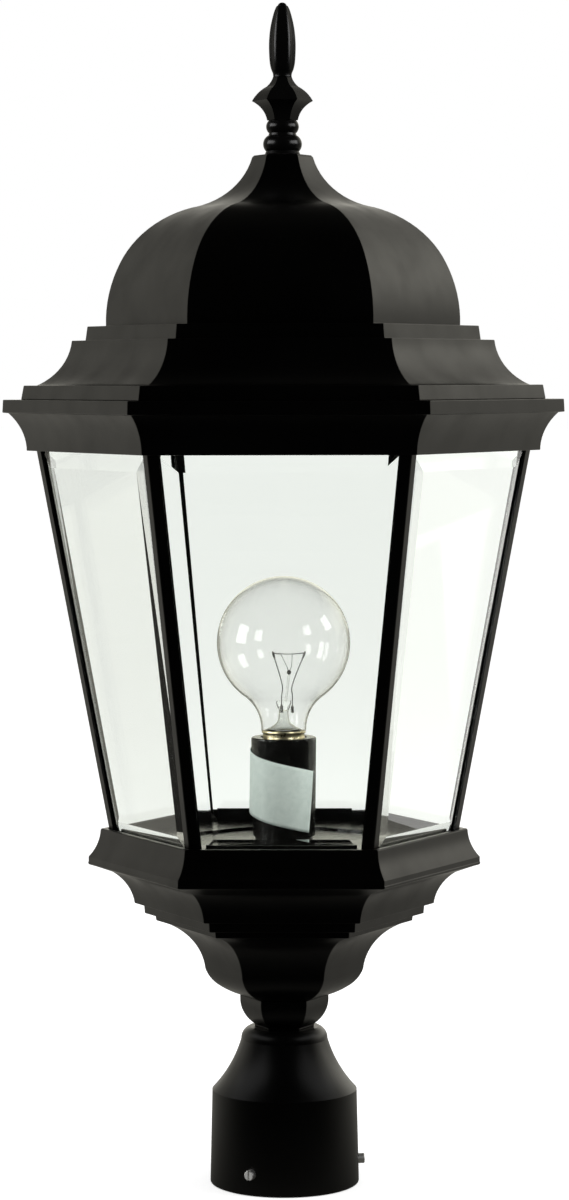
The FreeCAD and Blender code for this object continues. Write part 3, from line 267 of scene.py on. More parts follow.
# Patches in each finish, in bumps per metre, and the height of its relief
COAT_CLOUDS = 14
COAT_GLOSS = 45
COAT_WAVES = 60
COAT_WAVE_HEIGHT = 0.08 * MM
COAT_PEEL = 1300
COAT_PEEL_HEIGHT = 0.012 * MM
METAL_CLOUDS = 120
METAL_GLOSS = 260
METAL_GRAIN = 900
WIRE_GRAIN = 4000
MOULD_CLOUDS = 90
MOULD_GLOSS = 300
MOULD_GRAIN = 1500
SKIN_HEIGHT = 0.01 * MM       # relief of metal and of moulded pieces
GLASS_CLOUDS = 6
PAPER_CLOUDS = 260
PAPER_FIBRES = 1800
PAPER_FIBRE_HEIGHT = 0.04 * MM

# Tones and gloss: the coat where it is clean and where it is dusty, the panes straight on, the
# painted shade that greys their side bevels aslant, the paper
COAT_DARK = (0.00048, 0.00048, 0.000468)
COAT_DUSTY = (0.00081, 0.00078, 0.00072)
PANE_TINT = (0.968, 0.99, 0.965)
PANE_IOR = 1.46
# Painted shade on the side bevels: the grey it reaches, and the facing values where it starts and is
# full
SLANT_PAINTED_SHADE = (0.05, 0.054, 0.048)
SLANT_START = 0.50
SLANT_END = 0.64
BEVEL_ROUGHNESS = 0.05
PAPER_SHADE = (0.72, 0.83, 0.77)
PAPER_WHITE = (0.83, 0.93, 0.87)
PAPER_ROUGHNESS = 0.45
FAINT_SHARE = 0.995           # how much of its brightness the darker glass keeps
DULL_SHARE = 0.86             # and the darker metal


def new_material(name):
    """Material with a Principled shader, its node tree and that shader."""
    material = bpy.data.materials.new(name)
    material.use_nodes = True
    tree = material.node_tree
    return material, tree, tree.nodes["Principled BSDF"]


def noise(tree, scale, detail, roughness=0.5):
    """Noise in the part's own coordinates; scale is in bumps per metre."""
    place = tree.nodes.new("ShaderNodeTexCoord")
    texture = tree.nodes.new("ShaderNodeTexNoise")
    texture.inputs["Scale"].default_value = scale
    texture.inputs["Detail"].default_value = detail
    texture.inputs["Roughness"].default_value = roughness
    tree.links.new(place.outputs["Object"], texture.inputs["Vector"])
    return texture.outputs["Fac"]


def ramp(tree, source, low, high, start=0.35, end=0.65):
    """Colour that goes from low to high as the source goes from start to end."""
    node = tree.nodes.new("ShaderNodeValToRGB")
    node.color_ramp.elements[0].position = start
    node.color_ramp.elements[0].color = (*low, 1)
    node.color_ramp.elements[1].position = end
    node.color_ramp.elements[1].color = (*high, 1)
    tree.links.new(source, node.inputs["Fac"])
    return node.outputs["Color"]


def between(tree, source, low, high):
    """Number that goes from low to high as a noise does."""
    node = tree.nodes.new("ShaderNodeMapRange")
    node.inputs["From Min"].default_value = NOISE_LOW
    node.inputs["From Max"].default_value = NOISE_HIGH
    node.inputs["To Min"].default_value = low
    node.inputs["To Max"].default_value = high
    tree.links.new(source, node.inputs["Value"])
    return node.outputs["Result"]


def add_bump(tree, shader, source, height, under=None):
    """Relief of a height in metres, laid over another one if that is given."""
    bump = tree.nodes.new("ShaderNodeBump")
    bump.inputs["Distance"].default_value = height
    bump.inputs["Strength"].default_value = 1.0
    tree.links.new(source, bump.inputs["Height"])
    if under:
        tree.links.new(under, bump.inputs["Normal"])
    tree.links.new(bump.outputs["Normal"], shader.inputs["Normal"])
    return bump.outputs["Normal"]


def tint_and_gloss(tree, shader, tint, gloss):
    """Let a colour and a number drive the shader's colour and roughness."""
    tree.links.new(tint, shader.inputs["Base Color"])
    tree.links.new(gloss, shader.inputs["Roughness"])


def powder_coat(name, rough, ior=1.5):
    """Satin black powder coat over a casting: fine orange peel, faint casting waves, thin dust."""
    material, tree, shader = new_material(name)
    tint = ramp(tree, noise(tree, COAT_CLOUDS, detail=4), COAT_DARK, COAT_DUSTY)
    tint_and_gloss(tree, shader, tint, between(tree, noise(tree, COAT_GLOSS, detail=5), *rough))
    waves = add_bump(tree, shader, noise(tree, COAT_WAVES, detail=1), COAT_WAVE_HEIGHT)
    add_bump(tree, shader, noise(tree, COAT_PEEL, detail=2), COAT_PEEL_HEIGHT, waves)
    shader.inputs["IOR"].default_value = ior
    return material


def glass(tree, shader, tint, roughness, ior):
    """Make the shader clear, with a colour from the tint."""
    tree.links.new(tint, shader.inputs["Base Color"])
    shader.inputs["Roughness"].default_value = roughness
    shader.inputs["IOR"].default_value = ior
    shader.inputs["Transmission Weight"].default_value = 1.0


def clear_glass(name, colour, ior):
    """Clear glass with a faint drift of tint."""
    material, tree, shader = new_material(name)
    faint = [c * FAINT_SHARE for c in colour]
    glass(tree, shader, ramp(tree, noise(tree, GLASS_CLOUDS, detail=2), faint, colour), 0.0, ior)
    return material


def bevel_glass_painted_shade(name, colour, ior):
    """Ground edge of a pane: clear straight on, with painted shade that turns it grey where it is
    seen aslant.
    """
    material, tree, shader = new_material(name)
    slant = tree.nodes.new("ShaderNodeLayerWeight")
    slant.inputs["Blend"].default_value = 0.5
    # Painted shade: the colour turns grey as the face turns aslant to the view
    tint = ramp(tree, slant.outputs["Facing"], colour, SLANT_PAINTED_SHADE, SLANT_START, SLANT_END)
    glass(tree, shader, tint, BEVEL_ROUGHNESS, ior)
    return material


def metal(name, colour, rough, grain=METAL_GRAIN):
    """Bare or plated metal with uneven polish."""
    material, tree, shader = new_material(name)
    dull = [c * DULL_SHARE for c in colour]
    tint = ramp(tree, noise(tree, METAL_CLOUDS, detail=4), dull, colour)
    tint_and_gloss(tree, shader, tint, between(tree, noise(tree, METAL_GLOSS, detail=4), *rough))
    shader.inputs["Metallic"].default_value = 1.0
    add_bump(tree, shader, noise(tree, grain, detail=3), SKIN_HEIGHT)
    return material


def moulded(name, low, high, rough):
    """Moulded or soft material: two tones, uneven gloss and a fine skin."""
    material, tree, shader = new_material(name)
    tint = ramp(tree, noise(tree, MOULD_CLOUDS, detail=5), low, high)
    tint_and_gloss(tree, shader, tint, between(tree, noise(tree, MOULD_GLOSS, detail=3), *rough))
    add_bump(tree, shader, noise(tree, MOULD_GRAIN, detail=3), SKIN_HEIGHT)
    return material


def paper(name):
    """Coated label paper: fibres, a faint mottle and a soft sheen."""
    material, tree, shader = new_material(name)
    tint = ramp(tree, noise(tree, PAPER_CLOUDS, detail=6, roughness=0.7), PAPER_SHADE, PAPER_WHITE)
    tree.links.new(tint, shader.inputs["Base Color"])
    shader.inputs["Roughness"].default_value = PAPER_ROUGHNESS
    add_bump(tree, shader, noise(tree, PAPER_FIBRES, detail=6, roughness=0.75), PAPER_FIBRE_HEIGHT)
    return material


# A material for each of the record's slots
MATERIALS = {
    "black_paint": powder_coat("black_paint", rough=(0.28, 0.38)),
    "pane_glass": clear_glass("pane_glass", PANE_TINT, PANE_IOR),
    "bulb_glass": clear_glass("bulb_glass", (0.99, 0.99, 0.985), ior=1.36),
    "stem_glass": clear_glass("stem_glass", (0.93, 0.94, 0.92), ior=1.45),
    "brass": metal("brass", (0.80, 0.70, 0.45), rough=(0.24, 0.38)),
    "zinc_steel": metal("zinc_steel", (0.62, 0.62, 0.60), rough=(0.26, 0.42)),
    "black_socket": moulded("black_socket", (0.0015, 0.0015, 0.0014), (0.003, 0.003, 0.0026),
                            rough=(0.14, 0.24)),
    "rubber_seal": moulded("rubber_seal", (0.01, 0.01, 0.01), (0.02, 0.02, 0.019),
                           rough=(0.6, 0.75)),
    "paper_wrap": paper("paper_wrap"),
    "filament": metal("filament", (0.40, 0.39, 0.37), rough=(0.35, 0.5), grain=WIRE_GRAIN),
    "bulb_insulator": moulded("bulb_insulator", (0.008, 0.008, 0.01), (0.02, 0.018, 0.02),
                              rough=(0.15, 0.25)),
}

# Finishes that differ a little from their slot's
FINIAL_PAINT = powder_coat("finial_paint", rough=(0.20, 0.28), ior=1.15)
FLOOR_PAINT = powder_coat("floor_paint", rough=(0.18, 0.26))
# The set screws' zinc is rougher plating, and its lighter colour is painted highlight for the light
# the screws catch from the front-left
SET_SCREW_ZINC_LIT = metal("set_screw_zinc_lit", (0.92, 0.92, 0.90), rough=(0.50, 0.60))
BEVEL_GLASS_PAINTED_SHADE = bevel_glass_painted_shade("bevel_glass_painted_shade", PANE_TINT, PANE_IOR)

OWN_FINISH = {
    "finial": FINIAL_PAINT,
    "floor_plate": FLOOR_PAINT,
    "set_screw_1": SET_SCREW_ZINC_LIT,
    "set_screw_2": SET_SCREW_ZINC_LIT,
    "set_screw_3": SET_SCREW_ZINC_LIT,
}

CLEAR_SLOTS = ("pane_glass", "bulb_glass", "stem_glass")


def finish_surface(piece, slot):
    """Give a piece its slot's material."""
    piece.data.materials.clear()
    piece.data.materials.append(MATERIALS[slot])


def let_light_pass(piece):
    """Clear glass casts no shadow, and matt surfaces don't see it."""
    piece.visible_shadow = False
    piece.visible_diffuse = False


def smooth_by_angle(piece, angle):
    """Smooth shading that keeps edges sharper than the angle, in degrees."""
    mesh = piece.data
    mesh.shade_smooth()
    mesh.set_sharp_from_angle(angle=math.radians(angle))


# ---------------------------------------------------------------- hexagonal castings

def corner_section(node):
    """Section of a hexagonal casting down its +X corner, as a closed loop of (corner radius, z)."""
    mesh = nodes[node].data
    tolerance = 2e-6
    key = {}
    for vertex in mesh.vertices:
        if abs(vertex.co.y) < tolerance and vertex.co.x > 0:
            key[vertex.index] = (round(vertex.co.x, 6), round(vertex.co.z, 6))
    beside = {}
    for edge in mesh.edges:
        a, b = (key.get(v) for v in edge.vertices)
        if a and b and a != b:
            beside.setdefault(a, set()).add(b)
            beside.setdefault(b, set()).add(a)
    start = min(beside)
    loop = [start]
    last, here = None, start
    while True:
        onward = sorted(p for p in beside[here] if p != last)
        last, here = here, onward[0]
        if here == start:
            return loop
        loop.append(here)


def round_loop(loop, radius):
    """The loop with each sharp turn replaced by a small arc."""
    out = []
    count = len(loop)
    for k in range(count):
        before, here, after = (Vector(loop[(k + d) % count]) for d in (-1, 0, 1))
        way_in, way_out = here - before, after - here
        angle = abs(way_in.angle_signed(way_out, 0))
        if math.degrees(angle) < EDGE_TURN:
            out.append(tuple(here))
            continue
        room = EDGE_SHARE * min(way_in.length, way_out.length)
        reach = min(radius * math.tan(angle / 2), room)
        first = here - way_in.normalized() * reach
        end = here + way_out.normalized() * reach
        for step in range(EDGE_STEPS + 1):
            t = step / EDGE_STEPS
            out.append(tuple(first.lerp(here, t).lerp(here.lerp(end, t), t)))
    return out


def hexagon_ring(corner_r, z, corner_round):
    """Points of a hexagon with rounded corners, level at height z."""
    centre_r = corner_r - corner_round * 2 / math.sqrt(3)
    ring = []
    for k in range(6):
        middle = math.radians(60 * k)
        centre = Vector((centre_r * math.cos(middle), centre_r * math.sin(middle), z))
        for step in CORNER_STEPS:
            way = middle + math.radians(step)
            ring.append(centre + corner_round * Vector((math.cos(way), math.sin(way), 0)))
    return ring


def skin_rings(mesh, rings, closed):
    """Faces between each ring of vertices and the next, and from the last to the first if closed."""
    following = rings[1:] + rings[:1] if closed else rings[1:]
    for ring, after in zip(rings, following):
        for k in range(len(ring)):
            n = (k + 1) % len(ring)
            mesh.faces.new((ring[k], ring[n], after[n], after[k]))


def hexagonal_casting(name, node, body):
    """The node's own casting with rounded corners and edges."""
    loop = round_loop(corner_section(node), EDGE_ROUND)
    mesh = bmesh.new()
    rings = []
    for corner_r, z in loop:
        corner_round = min(CORNER_ROUND, corner_r * CORNER_SHARE)
        rings.append([mesh.verts.new(p) for p in hexagon_ring(corner_r, z, corner_round)])
    skin_rings(mesh, rings, closed=True)
    weigh_normals(add_piece(mesh, name, node, "black_paint", body, angle=40))


def bevelled_pane(name, node, body):
    """A pane with ground bevels on its outer face, between the corners of the node's own."""
    source = [vertex.co.copy() for vertex in nodes[node].data.vertices]
    middle = sum(source, Vector()) / len(source)
    # The pane is shaped on the front side and turned to its own side of the hexagon.
    side = round(math.degrees(math.atan2(middle.y, middle.x)) / 60 + 1.5)
    turn = Matrix.Rotation(math.radians(60 * side), 3, "Z")
    corners = [turn.inverted() @ point for point in source]
    right = [point for point in corners if point.x > 0]
    inner_foot = max(right, key=lambda point: point.y)
    outer_foot = min(right, key=lambda point: point.z)
    inner_head = max(right, key=lambda point: point.z)
    outer_head = min(right, key=lambda point: point.y)
    up = Vector((0, inner_head.y - inner_foot.y, inner_head.z - inner_foot.z))
    length = up.length
    up.normalize()
    out = Vector((0, -up.z, up.y))
    thickness = max((point - inner_foot).dot(out) for point in corners)

    def on_face(share_up, inset):
        """Point of the middle's flat, this far in from the slanted edge."""
        half = inner_foot.x + (inner_head.x - inner_foot.x) * share_up
        place = inner_foot + up * (length * share_up) + out * thickness
        return Vector((half - inset, place.y, place.z))

    low = on_face(PANE_FOOT_BEVEL / length, PANE_SIDE_BEVEL_LOW)
    high = on_face(1 - PANE_HEAD_BEVEL / length, PANE_SIDE_BEVEL_HIGH)
    frames = []
    for foot, head in ((inner_foot, inner_head), (outer_foot, outer_head), (low, high)):
        frames.append([foot, head, flip_x(head), flip_x(foot)])
    mesh = bmesh.new()
    rings = [[mesh.verts.new(turn @ point) for point in ring] for ring in frames]
    mesh.faces.new(rings[0])
    mesh.faces.new(rings[2])
    skin_rings(mesh, rings, closed=False)
    bmesh.ops.recalc_face_normals(mesh, faces=mesh.faces)
    piece = piece_from(mesh, name)
    finish_surface(piece, "pane_glass")
    # The second material paints shade on the side bevels where they are seen aslant
    piece.data.materials.append(BEVEL_GLASS_PAINTED_SHADE)
    # The bevels are the last four faces, and those at the sides are the first and third of them.
    bevels = list(piece.data.polygons)[-4:]
    for side_bevel in bevels[::2]:
        side_bevel.material_index = 1
    let_light_pass(piece)
    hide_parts(node)
    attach(piece, body)


def flip_x(point):
    """The point mirrored from right to left."""
    return Vector((-point.x, point.y, point.z))


def piece_from(mesh, name):
    """Object made from a bmesh."""
    data = bpy.data.meshes.new(name)
    mesh.to_mesh(data)
    mesh.free()
    piece = bpy.data.objects.new(name, data)
    bpy.context.scene.collection.objects.link(piece)
    return piece


def add_piece(mesh, name, node, slot, body, angle):
    """Finished piece from a bmesh: smoothed, finished, riding on its body and standing for a node."""
    bmesh.ops.recalc_face_normals(mesh, faces=mesh.faces)
    piece = piece_from(mesh, name)
    smooth_by_angle(piece, angle)
    finish_surface(piece, slot)
    if node:
        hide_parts(node)
    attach(piece, body)
    return piece


def weigh_normals(piece):
    """Shade wide faces flat and leave the rounding to narrow ones."""
    modifier = piece.modifiers.new("weigh", "WEIGHTED_NORMAL")
    modifier.keep_sharp = True


# ---------------------------------------------------------------- studio

def add_camera():
    """The photograph's camera."""
    data = bpy.data.cameras.new("camera")
    data.lens = CAMERA_LENS
    data.sensor_width = CAMERA_SENSOR
    data.clip_start = CAMERA_NEAR
    data.clip_end = CAMERA_FAR
    camera = bpy.data.objects.new("camera", data)
    place = Vector((CAMERA_X, -CAMERA_DISTANCE, CAMERA_HEIGHT))
    level = Vector((-CAMERA_X, CAMERA_DISTANCE, 0)).normalized()
    level.rotate(Matrix.Rotation(-CAMERA_PAN, 3, "Z"))
    way = level * math.cos(CAMERA_TILT) - Vector((0, 0, math.sin(CAMERA_TILT)))
    turn = way.to_track_quat("-Z", "Y").to_matrix() @ Matrix.Rotation(-CAMERA_ROLL, 3, "Z")
    camera.matrix_world = Matrix.Translation(place) @ turn.to_4x4()
    bpy.context.scene.collection.objects.link(camera)
    bpy.context.scene.camera = camera


def link_math(tree, operation, first, second):
    """Result socket of a sum on two sockets or numbers."""
    node = tree.nodes.new("ShaderNodeMath")
    node.operation = operation
    for socket, value in zip(node.inputs, (first, second)):
        if isinstance(value, (int, float)):
            socket.default_value = value
        else:
            tree.links.new(value, socket)
    return node.outputs[0]


def fade(tree, source, start, end, low, high):
    """Number that goes smoothly from low to high as the source goes from start to end."""
    node = tree.nodes.new("ShaderNodeMapRange")
    node.interpolation_type = "SMOOTHSTEP"
    node.inputs["From Min"].default_value = start
    node.inputs["From Max"].default_value = end
    node.inputs["To Min"].default_value = low
    node.inputs["To Max"].default_value = high
    tree.links.new(source, node.inputs["Value"])
    return node.outputs["Result"]


def bounced(tree, path, kind):
    """1 for a ray that was reflected at least once in this way, Glossy or Diffuse, before it came
    here, and 0 for one that came straight or only through glass."""
    return link_math(tree, "MINIMUM", path.outputs[kind + " Depth"], 1.0)


def traced(tree, path):
    """1 for a ray that is followed, 0 for a look at the light from a surface."""
    mirrored = path.outputs["Is Reflection Ray"]
    bent = path.outputs["Is Transmission Ray"]
    moving = link_math(tree, "MAXIMUM", mirrored, bent)
    return link_math(tree, "MAXIMUM", moving, path.outputs["Is Camera Ray"])


def mix_numbers(tree, factor, first, second):
    """The first number where the factor is 0, the second where it is 1."""
    way = link_math(tree, "SUBTRACT", second, first)
    return link_math(tree, "ADD", link_math(tree, "MULTIPLY", factor, way), first)


def add_world():
    """White studio. Gloss sees it dark in front of the lantern and overhead, lighter beside and
    behind it, and lightest up on the right."""
    world = bpy.data.worlds.new("studio")
    bpy.context.scene.world = world
    world.use_nodes = True
    tree = world.node_tree
    background = tree.nodes["Background"]
    place = tree.nodes.new("ShaderNodeTexCoord")
    split = tree.nodes.new("ShaderNodeSeparateXYZ")
    tree.links.new(place.outputs["Generated"], split.inputs[0])
    side, depth, height = (split.outputs[axis] for axis in "XYZ")
    behind = fade(tree, depth, *BACK_BY_DEPTH)
    overhead = fade(tree, height, *SHADE_BY_HEIGHT)
    right = link_math(tree, "MULTIPLY", fade(tree, side, *RIGHT_BY_SIDE),
                      fade(tree, height, *RIGHT_BY_HEIGHT))
    straight_behind = fade(tree, depth, *STRAIGHT_BACK_BY_DEPTH)
    plain = link_math(tree, "MULTIPLY", link_math(tree, "ADD", behind, straight_behind), overhead)
    gloss = link_math(tree, "MULTIPLY", plain, link_math(tree, "ADD", right, 1.0))
    path = tree.nodes.new("ShaderNodeLightPath")
    mirrored = bounced(tree, path, "Glossy")
    seen = mix_numbers(tree, mirrored, 1.0, gloss)
    level = mix_numbers(tree, bounced(tree, path, "Diffuse"), seen, ROOM_LIGHT)
    strength = link_math(tree, "MULTIPLY", level, traced(tree, path))
    tree.links.new(strength, background.inputs["Strength"])
    tint = tree.nodes.new("ShaderNodeMix")
    tint.data_type = "RGBA"
    tint.inputs["A"].default_value = (1, 1, 1, 1)
    tint.inputs["B"].default_value = (*WARM_WHITE, 1)
    tree.links.new(mirrored, tint.inputs["Factor"])
    tree.links.new(tint.outputs["Result"], background.inputs["Color"])


def add_floor():
    """Pale floor that shows white to the camera and keeps the shadow. Gloss sees it dark in front
    of the lantern, as if a black card lay there."""
    mesh = bmesh.new()
    bmesh.ops.create_grid(mesh, x_segments=1, y_segments=1, size=FLOOR_SIZE)
    floor = piece_from(mesh, "floor")
    floor.location = (0, 0, -FLOOR_DROP)
    material, tree, shader = new_material("floor_paper")
    shader.inputs["Roughness"].default_value = FLOOR_ROUGHNESS
    shader.inputs["Specular IOR Level"].default_value = FLOOR_SHEEN
    tone = ramp(tree, noise(tree, FLOOR_CLOUDS, detail=2), FLOOR_SHADE, FLOOR_WHITE)
    tree.links.new(tone, shader.inputs["Base Color"])
    path = tree.nodes.new("ShaderNodeLightPath")
    shader.inputs["Emission Color"].default_value = (1, 1, 1, 1)
    lift = mix_numbers(tree, bounced(tree, path, "Diffuse"), FLOOR_GLOW, 0.0)
    glow = link_math(tree, "MULTIPLY", lift, traced(tree, path))
    tree.links.new(glow, shader.inputs["Emission Strength"])
    place = tree.nodes.new("ShaderNodeNewGeometry")
    split = tree.nodes.new("ShaderNodeSeparateXYZ")
    tree.links.new(place.outputs["Position"], split.inputs[0])
    card = tree.nodes.new("ShaderNodeEmission")
    tree.links.new(fade(tree, split.outputs["Y"], *FLOOR_BY_DEPTH), card.inputs["Strength"])
    card.inputs["Color"].default_value = (*WARM_WHITE, 1)
    mix = tree.nodes.new("ShaderNodeMixShader")
    tree.links.new(bounced(tree, path, "Glossy"), mix.inputs["Fac"])
    tree.links.new(shader.outputs["BSDF"], mix.inputs[1])
    tree.links.new(card.outputs["Emission"], mix.inputs[2])
    tree.links.new(mix.outputs["Shader"], tree.nodes["Material Output"].inputs["Surface"])
    floor.data.materials.append(material)


def add_softbox(name, place, aim, size, power, shows=True):
    """Rectangular lamp that looks at its aim. It shows in gloss and through glass if asked."""
    data = bpy.data.lights.new(name, "AREA")
    data.shape = "RECTANGLE"
    data.size, data.size_y = size
    data.energy = power
    light = bpy.data.objects.new(name, data)
    way = Vector(aim) - Vector(place)
    turn = way.to_track_quat("-Z", "Y").to_matrix()
    light.matrix_world = Matrix.Translation(Vector(place)) @ turn.to_4x4()
    bpy.context.scene.collection.objects.link(light)
    light.visible_glossy = shows
    light.visible_transmission = shows
    return light


def add_lamps():
    """Every lamp: softboxes, windows and the card behind. It comes last, because the windows are
    set for pieces that are there already."""
    for name, place, size, power in SOFTBOXES:
        add_softbox(name, place, LAMP_AIM, size, power, shows=False)
    shiny = with_finish(SET_SCREW_ZINC_LIT, *(MATERIALS[slot] for slot in WINDOW_SLOTS))
    add_windows("window", LAMP_AIM, WINDOWS, WINDOW_GLOW, shiny)
    finial = with_finish(FINIAL_PAINT)
    add_windows("finial_window", FINIAL_AIM, FINIAL_WINDOWS, FINIAL_GLOW, finial)
    add_windows("fitter_window", FITTER_AIM, FITTER_WINDOWS, FITTER_GLOW, [nodes["fitter"]])
    panes = with_finish(MATERIALS["pane_glass"])
    right_panes = [pane for pane in panes if pane.bound_box[0][0] > 0]
    card = add_softbox("pane_card", CARD_PLACE, LAMP_AIM, CARD_SIZE, CARD_POWER)
    card.visible_transmission = False
    light_only(card, right_panes)


def with_finish(*finishes):
    """Every mesh whose first material is one of these."""
    meshes = [piece for piece in bpy.context.scene.objects if piece.type == "MESH"]
    return [piece for piece in meshes if piece.data.materials and piece.data.materials[0] in finishes]


def light_only(light, pieces):
    """Let a lamp light these pieces alone."""
    seen_by = bpy.data.collections.new(light.name + "_pieces")
    for piece in pieces:
        seen_by.objects.link(piece)
    light.light_linking.receiver_collection = seen_by


def add_windows(name, aim, windows, glow, lit):
    """Bright rectangles that only the pieces in lit can see."""
    for number, (turn, rise, width, height) in enumerate(windows):
        turn, rise = math.radians(turn), math.radians(rise)
        ahead = math.cos(rise)
        way = Vector((math.sin(turn) * ahead, -math.cos(turn) * ahead, math.sin(rise)))
        place = Vector(aim) + way * WINDOW_DISTANCE
        power = glow * width * height
        light = add_softbox("%s_%d" % (name, number), place, aim, (width, height), power)
        light_only(light, lit)


# ---------------------------------------------------------------- the lantern

def soften_edges(node, width):
    """Small round on a solid's sharp edges."""
    modifier = nodes[node].modifiers.new("edge_round", "BEVEL")
    modifier.width = width
    modifier.segments = ROUND_SEGMENTS
    modifier.limit_method = "ANGLE"
    modifier.angle_limit = ROUND_ANGLE
    modifier.harden_normals = False
    weigh_normals(nodes[node])


def join_rings(mesh, rings, closed=False, caps=False):
    """Skin over rings of points that have equal counts."""
    made = [[mesh.verts.new(point) for point in ring] for ring in rings]
    skin_rings(mesh, made, closed)
    if caps:
        mesh.faces.new(made[0])
        mesh.faces.new(made[-1])


def thread_rings(crest, depth, low, high, pitch, sides, rolled=False):
    """Rings of a right-hand thread that runs out at both ends. A rolled thread is a soft wave, as
    in sheet metal, and a cut one is a vee."""
    steps = round((high - low) / pitch * RINGS_PER_PITCH)
    rings = []
    for k in range(steps + 1):
        z = low + (high - low) * k / steps
        run_out = min(1.0, (z - low) / pitch, (high - z) / pitch)
        ring = []
        for j in range(sides):
            phase = (z / pitch - j / sides) % 1.0
            wave = 0.5 + 0.5 * math.cos(FULL_TURN * phase) if rolled else abs(2 * phase - 1)
            r = crest - depth * (1 - wave * run_out)
            angle = FULL_TURN * j / sides
            ring.append(Vector((r * math.cos(angle), r * math.sin(angle), z)))
        rings.append(ring)
    return rings


def round_ring(radius, z, sides):
    """Points of a level circle about the axis."""
    return [Vector((radius * math.cos(a), radius * math.sin(a), z))
            for a in (FULL_TURN * k / sides for k in range(sides))]


def lining(rings, crest, wall):
    """The rings in turned order, nearer the axis by the thickness of a wall."""
    share = 1 - wall / crest
    return [[Vector((p.x * share, p.y * share, p.z)) for p in ring] for ring in reversed(rings)]


def threaded_rod(name, node, pitch, bore=None):
    """Threaded rod or pipe in the node's own size."""
    low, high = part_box(node)
    crest = high[0]
    sides = THIN_ROD_SIDES if crest < THIN_ROD else WIDE_ROD_SIDES
    plain = CUT_RUN_OUT * pitch
    root = crest - pitch
    rings = thread_rings(crest, CUT_DEPTH * pitch, low[2] + plain, high[2] - plain, pitch, sides)
    rings.insert(0, round_ring(root, low[2], sides))
    rings.append(round_ring(root, high[2], sides))
    if bore:
        rings += [round_ring(bore, high[2], sides), round_ring(bore, low[2], sides)]
    mesh = bmesh.new()
    join_rings(mesh, rings, closed=bool(bore), caps=not bore)
    add_piece(mesh, name, node, "zinc_steel", "lantern", angle=60)


def bulb_screw_base(name, node):
    """Rolled brass screw base with a beaded mouth, thin walled."""
    low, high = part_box(node)
    crest, foot, mouth = high[0], low[2], high[2]
    outer = [round_ring(crest - inset * MM, foot + rise * MM, ROLLED_SIDES)
             for inset, rise in BASE_FOOT]
    outer += thread_rings(crest, BULB_THREAD, foot + BASE_FOOT_HEIGHT, mouth - BASE_MOUTH_HEIGHT,
                          BULB_PITCH, ROLLED_SIDES, rolled=True)
    outer += [round_ring(crest - inset * MM, mouth - drop * MM, ROLLED_SIDES)
              for inset, drop in BASE_MOUTH]
    mesh = bmesh.new()
    join_rings(mesh, outer + lining(outer, crest, BASE_WALL), closed=True)
    add_piece(mesh, name, node, "brass", "bulb", angle=50)


def socket_screw_shell(name, node):
    """Rolled brass shell inside the socket: its thread shows when the bulb is out."""
    low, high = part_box(node)
    crest, foot = high[0], low[2]
    skin = thread_rings(crest, SHELL_THREAD, foot, high[2], BULB_PITCH, ROLLED_SIDES, rolled=True)
    floor = [round_ring(SHELL_FLOOR_HOLE, z, ROLLED_SIDES) for z in (foot + SHELL_FLOOR_WALL, foot)]
    mesh = bmesh.new()
    join_rings(mesh, skin + lining(skin, crest, SHELL_WALL) + floor, closed=True)
    add_piece(mesh, name, node, "brass", "lantern", angle=50)


def swept_wire(mesh, points, radii, sides=8):
    """Round wire with closed ends along a line of points, with a radius at each point."""
    side = Vector((0, 1, 0))
    rings = []
    for k, (point, radius) in enumerate(zip(points, radii)):
        way = (points[min(k + 1, len(points) - 1)] - points[max(k - 1, 0)]).normalized()
        across = way.cross(side).normalized()
        side = across.cross(way).normalized()
        rings.append([point + radius * (math.cos(a) * across + math.sin(a) * side)
                      for a in (FULL_TURN * j / sides for j in range(sides))])
    join_rings(mesh, rings, caps=True)


def smooth_line(knots, steps=8):
    """Points of a soft curve through the knots."""
    line = []
    ends = [knots[0] * 2 - knots[1]] + knots + [knots[-1] * 2 - knots[-2]]
    for k in range(1, len(ends) - 2):
        a, b, c, d = ends[k - 1:k + 3]
        for step in range(steps):
            t = step / steps
            line.append(0.5 * (2 * b + (c - a) * t + (2 * a - 5 * b + 4 * c - d) * t * t
                               + (3 * b - a - 3 * c + d) * t ** 3))
    line.append(knots[-1])
    return line


def lead_wires(foot, top):
    """Both lead wires, thick in the press and clamped at their tips, and where the coil starts and
    ends on them."""
    mesh = bmesh.new()
    tips = []
    for root, knee, tip in LEAD_BENDS:
        knots = [Vector((root, 0, foot + LEAD_ROOT)), Vector((root, 0, foot + LEAD_EXIT)),
                 Vector((knee, 0, foot + LEAD_KNEE)), Vector((tip, 0, top))]
        line = smooth_line(knots)
        radii = [LEAD_RADIUS] * len(line)
        for k, point in enumerate(line):
            if point.z > top - LEAD_CLAMP_LENGTH:
                radii[k] = LEAD_CLAMP_RADIUS
            elif point.z < foot + LEAD_PRESS_LIMIT:
                radii[k] = LEAD_PRESS_RADIUS
        radii[-1] = LEAD_END_RADIUS
        swept_wire(mesh, line, radii)
        tips.append(Vector((tip, 0, top - COIL_DROP)))
    add_piece(mesh, "lead_wires", "bulb_leads", "filament", "bulb", angle=60)
    return tips


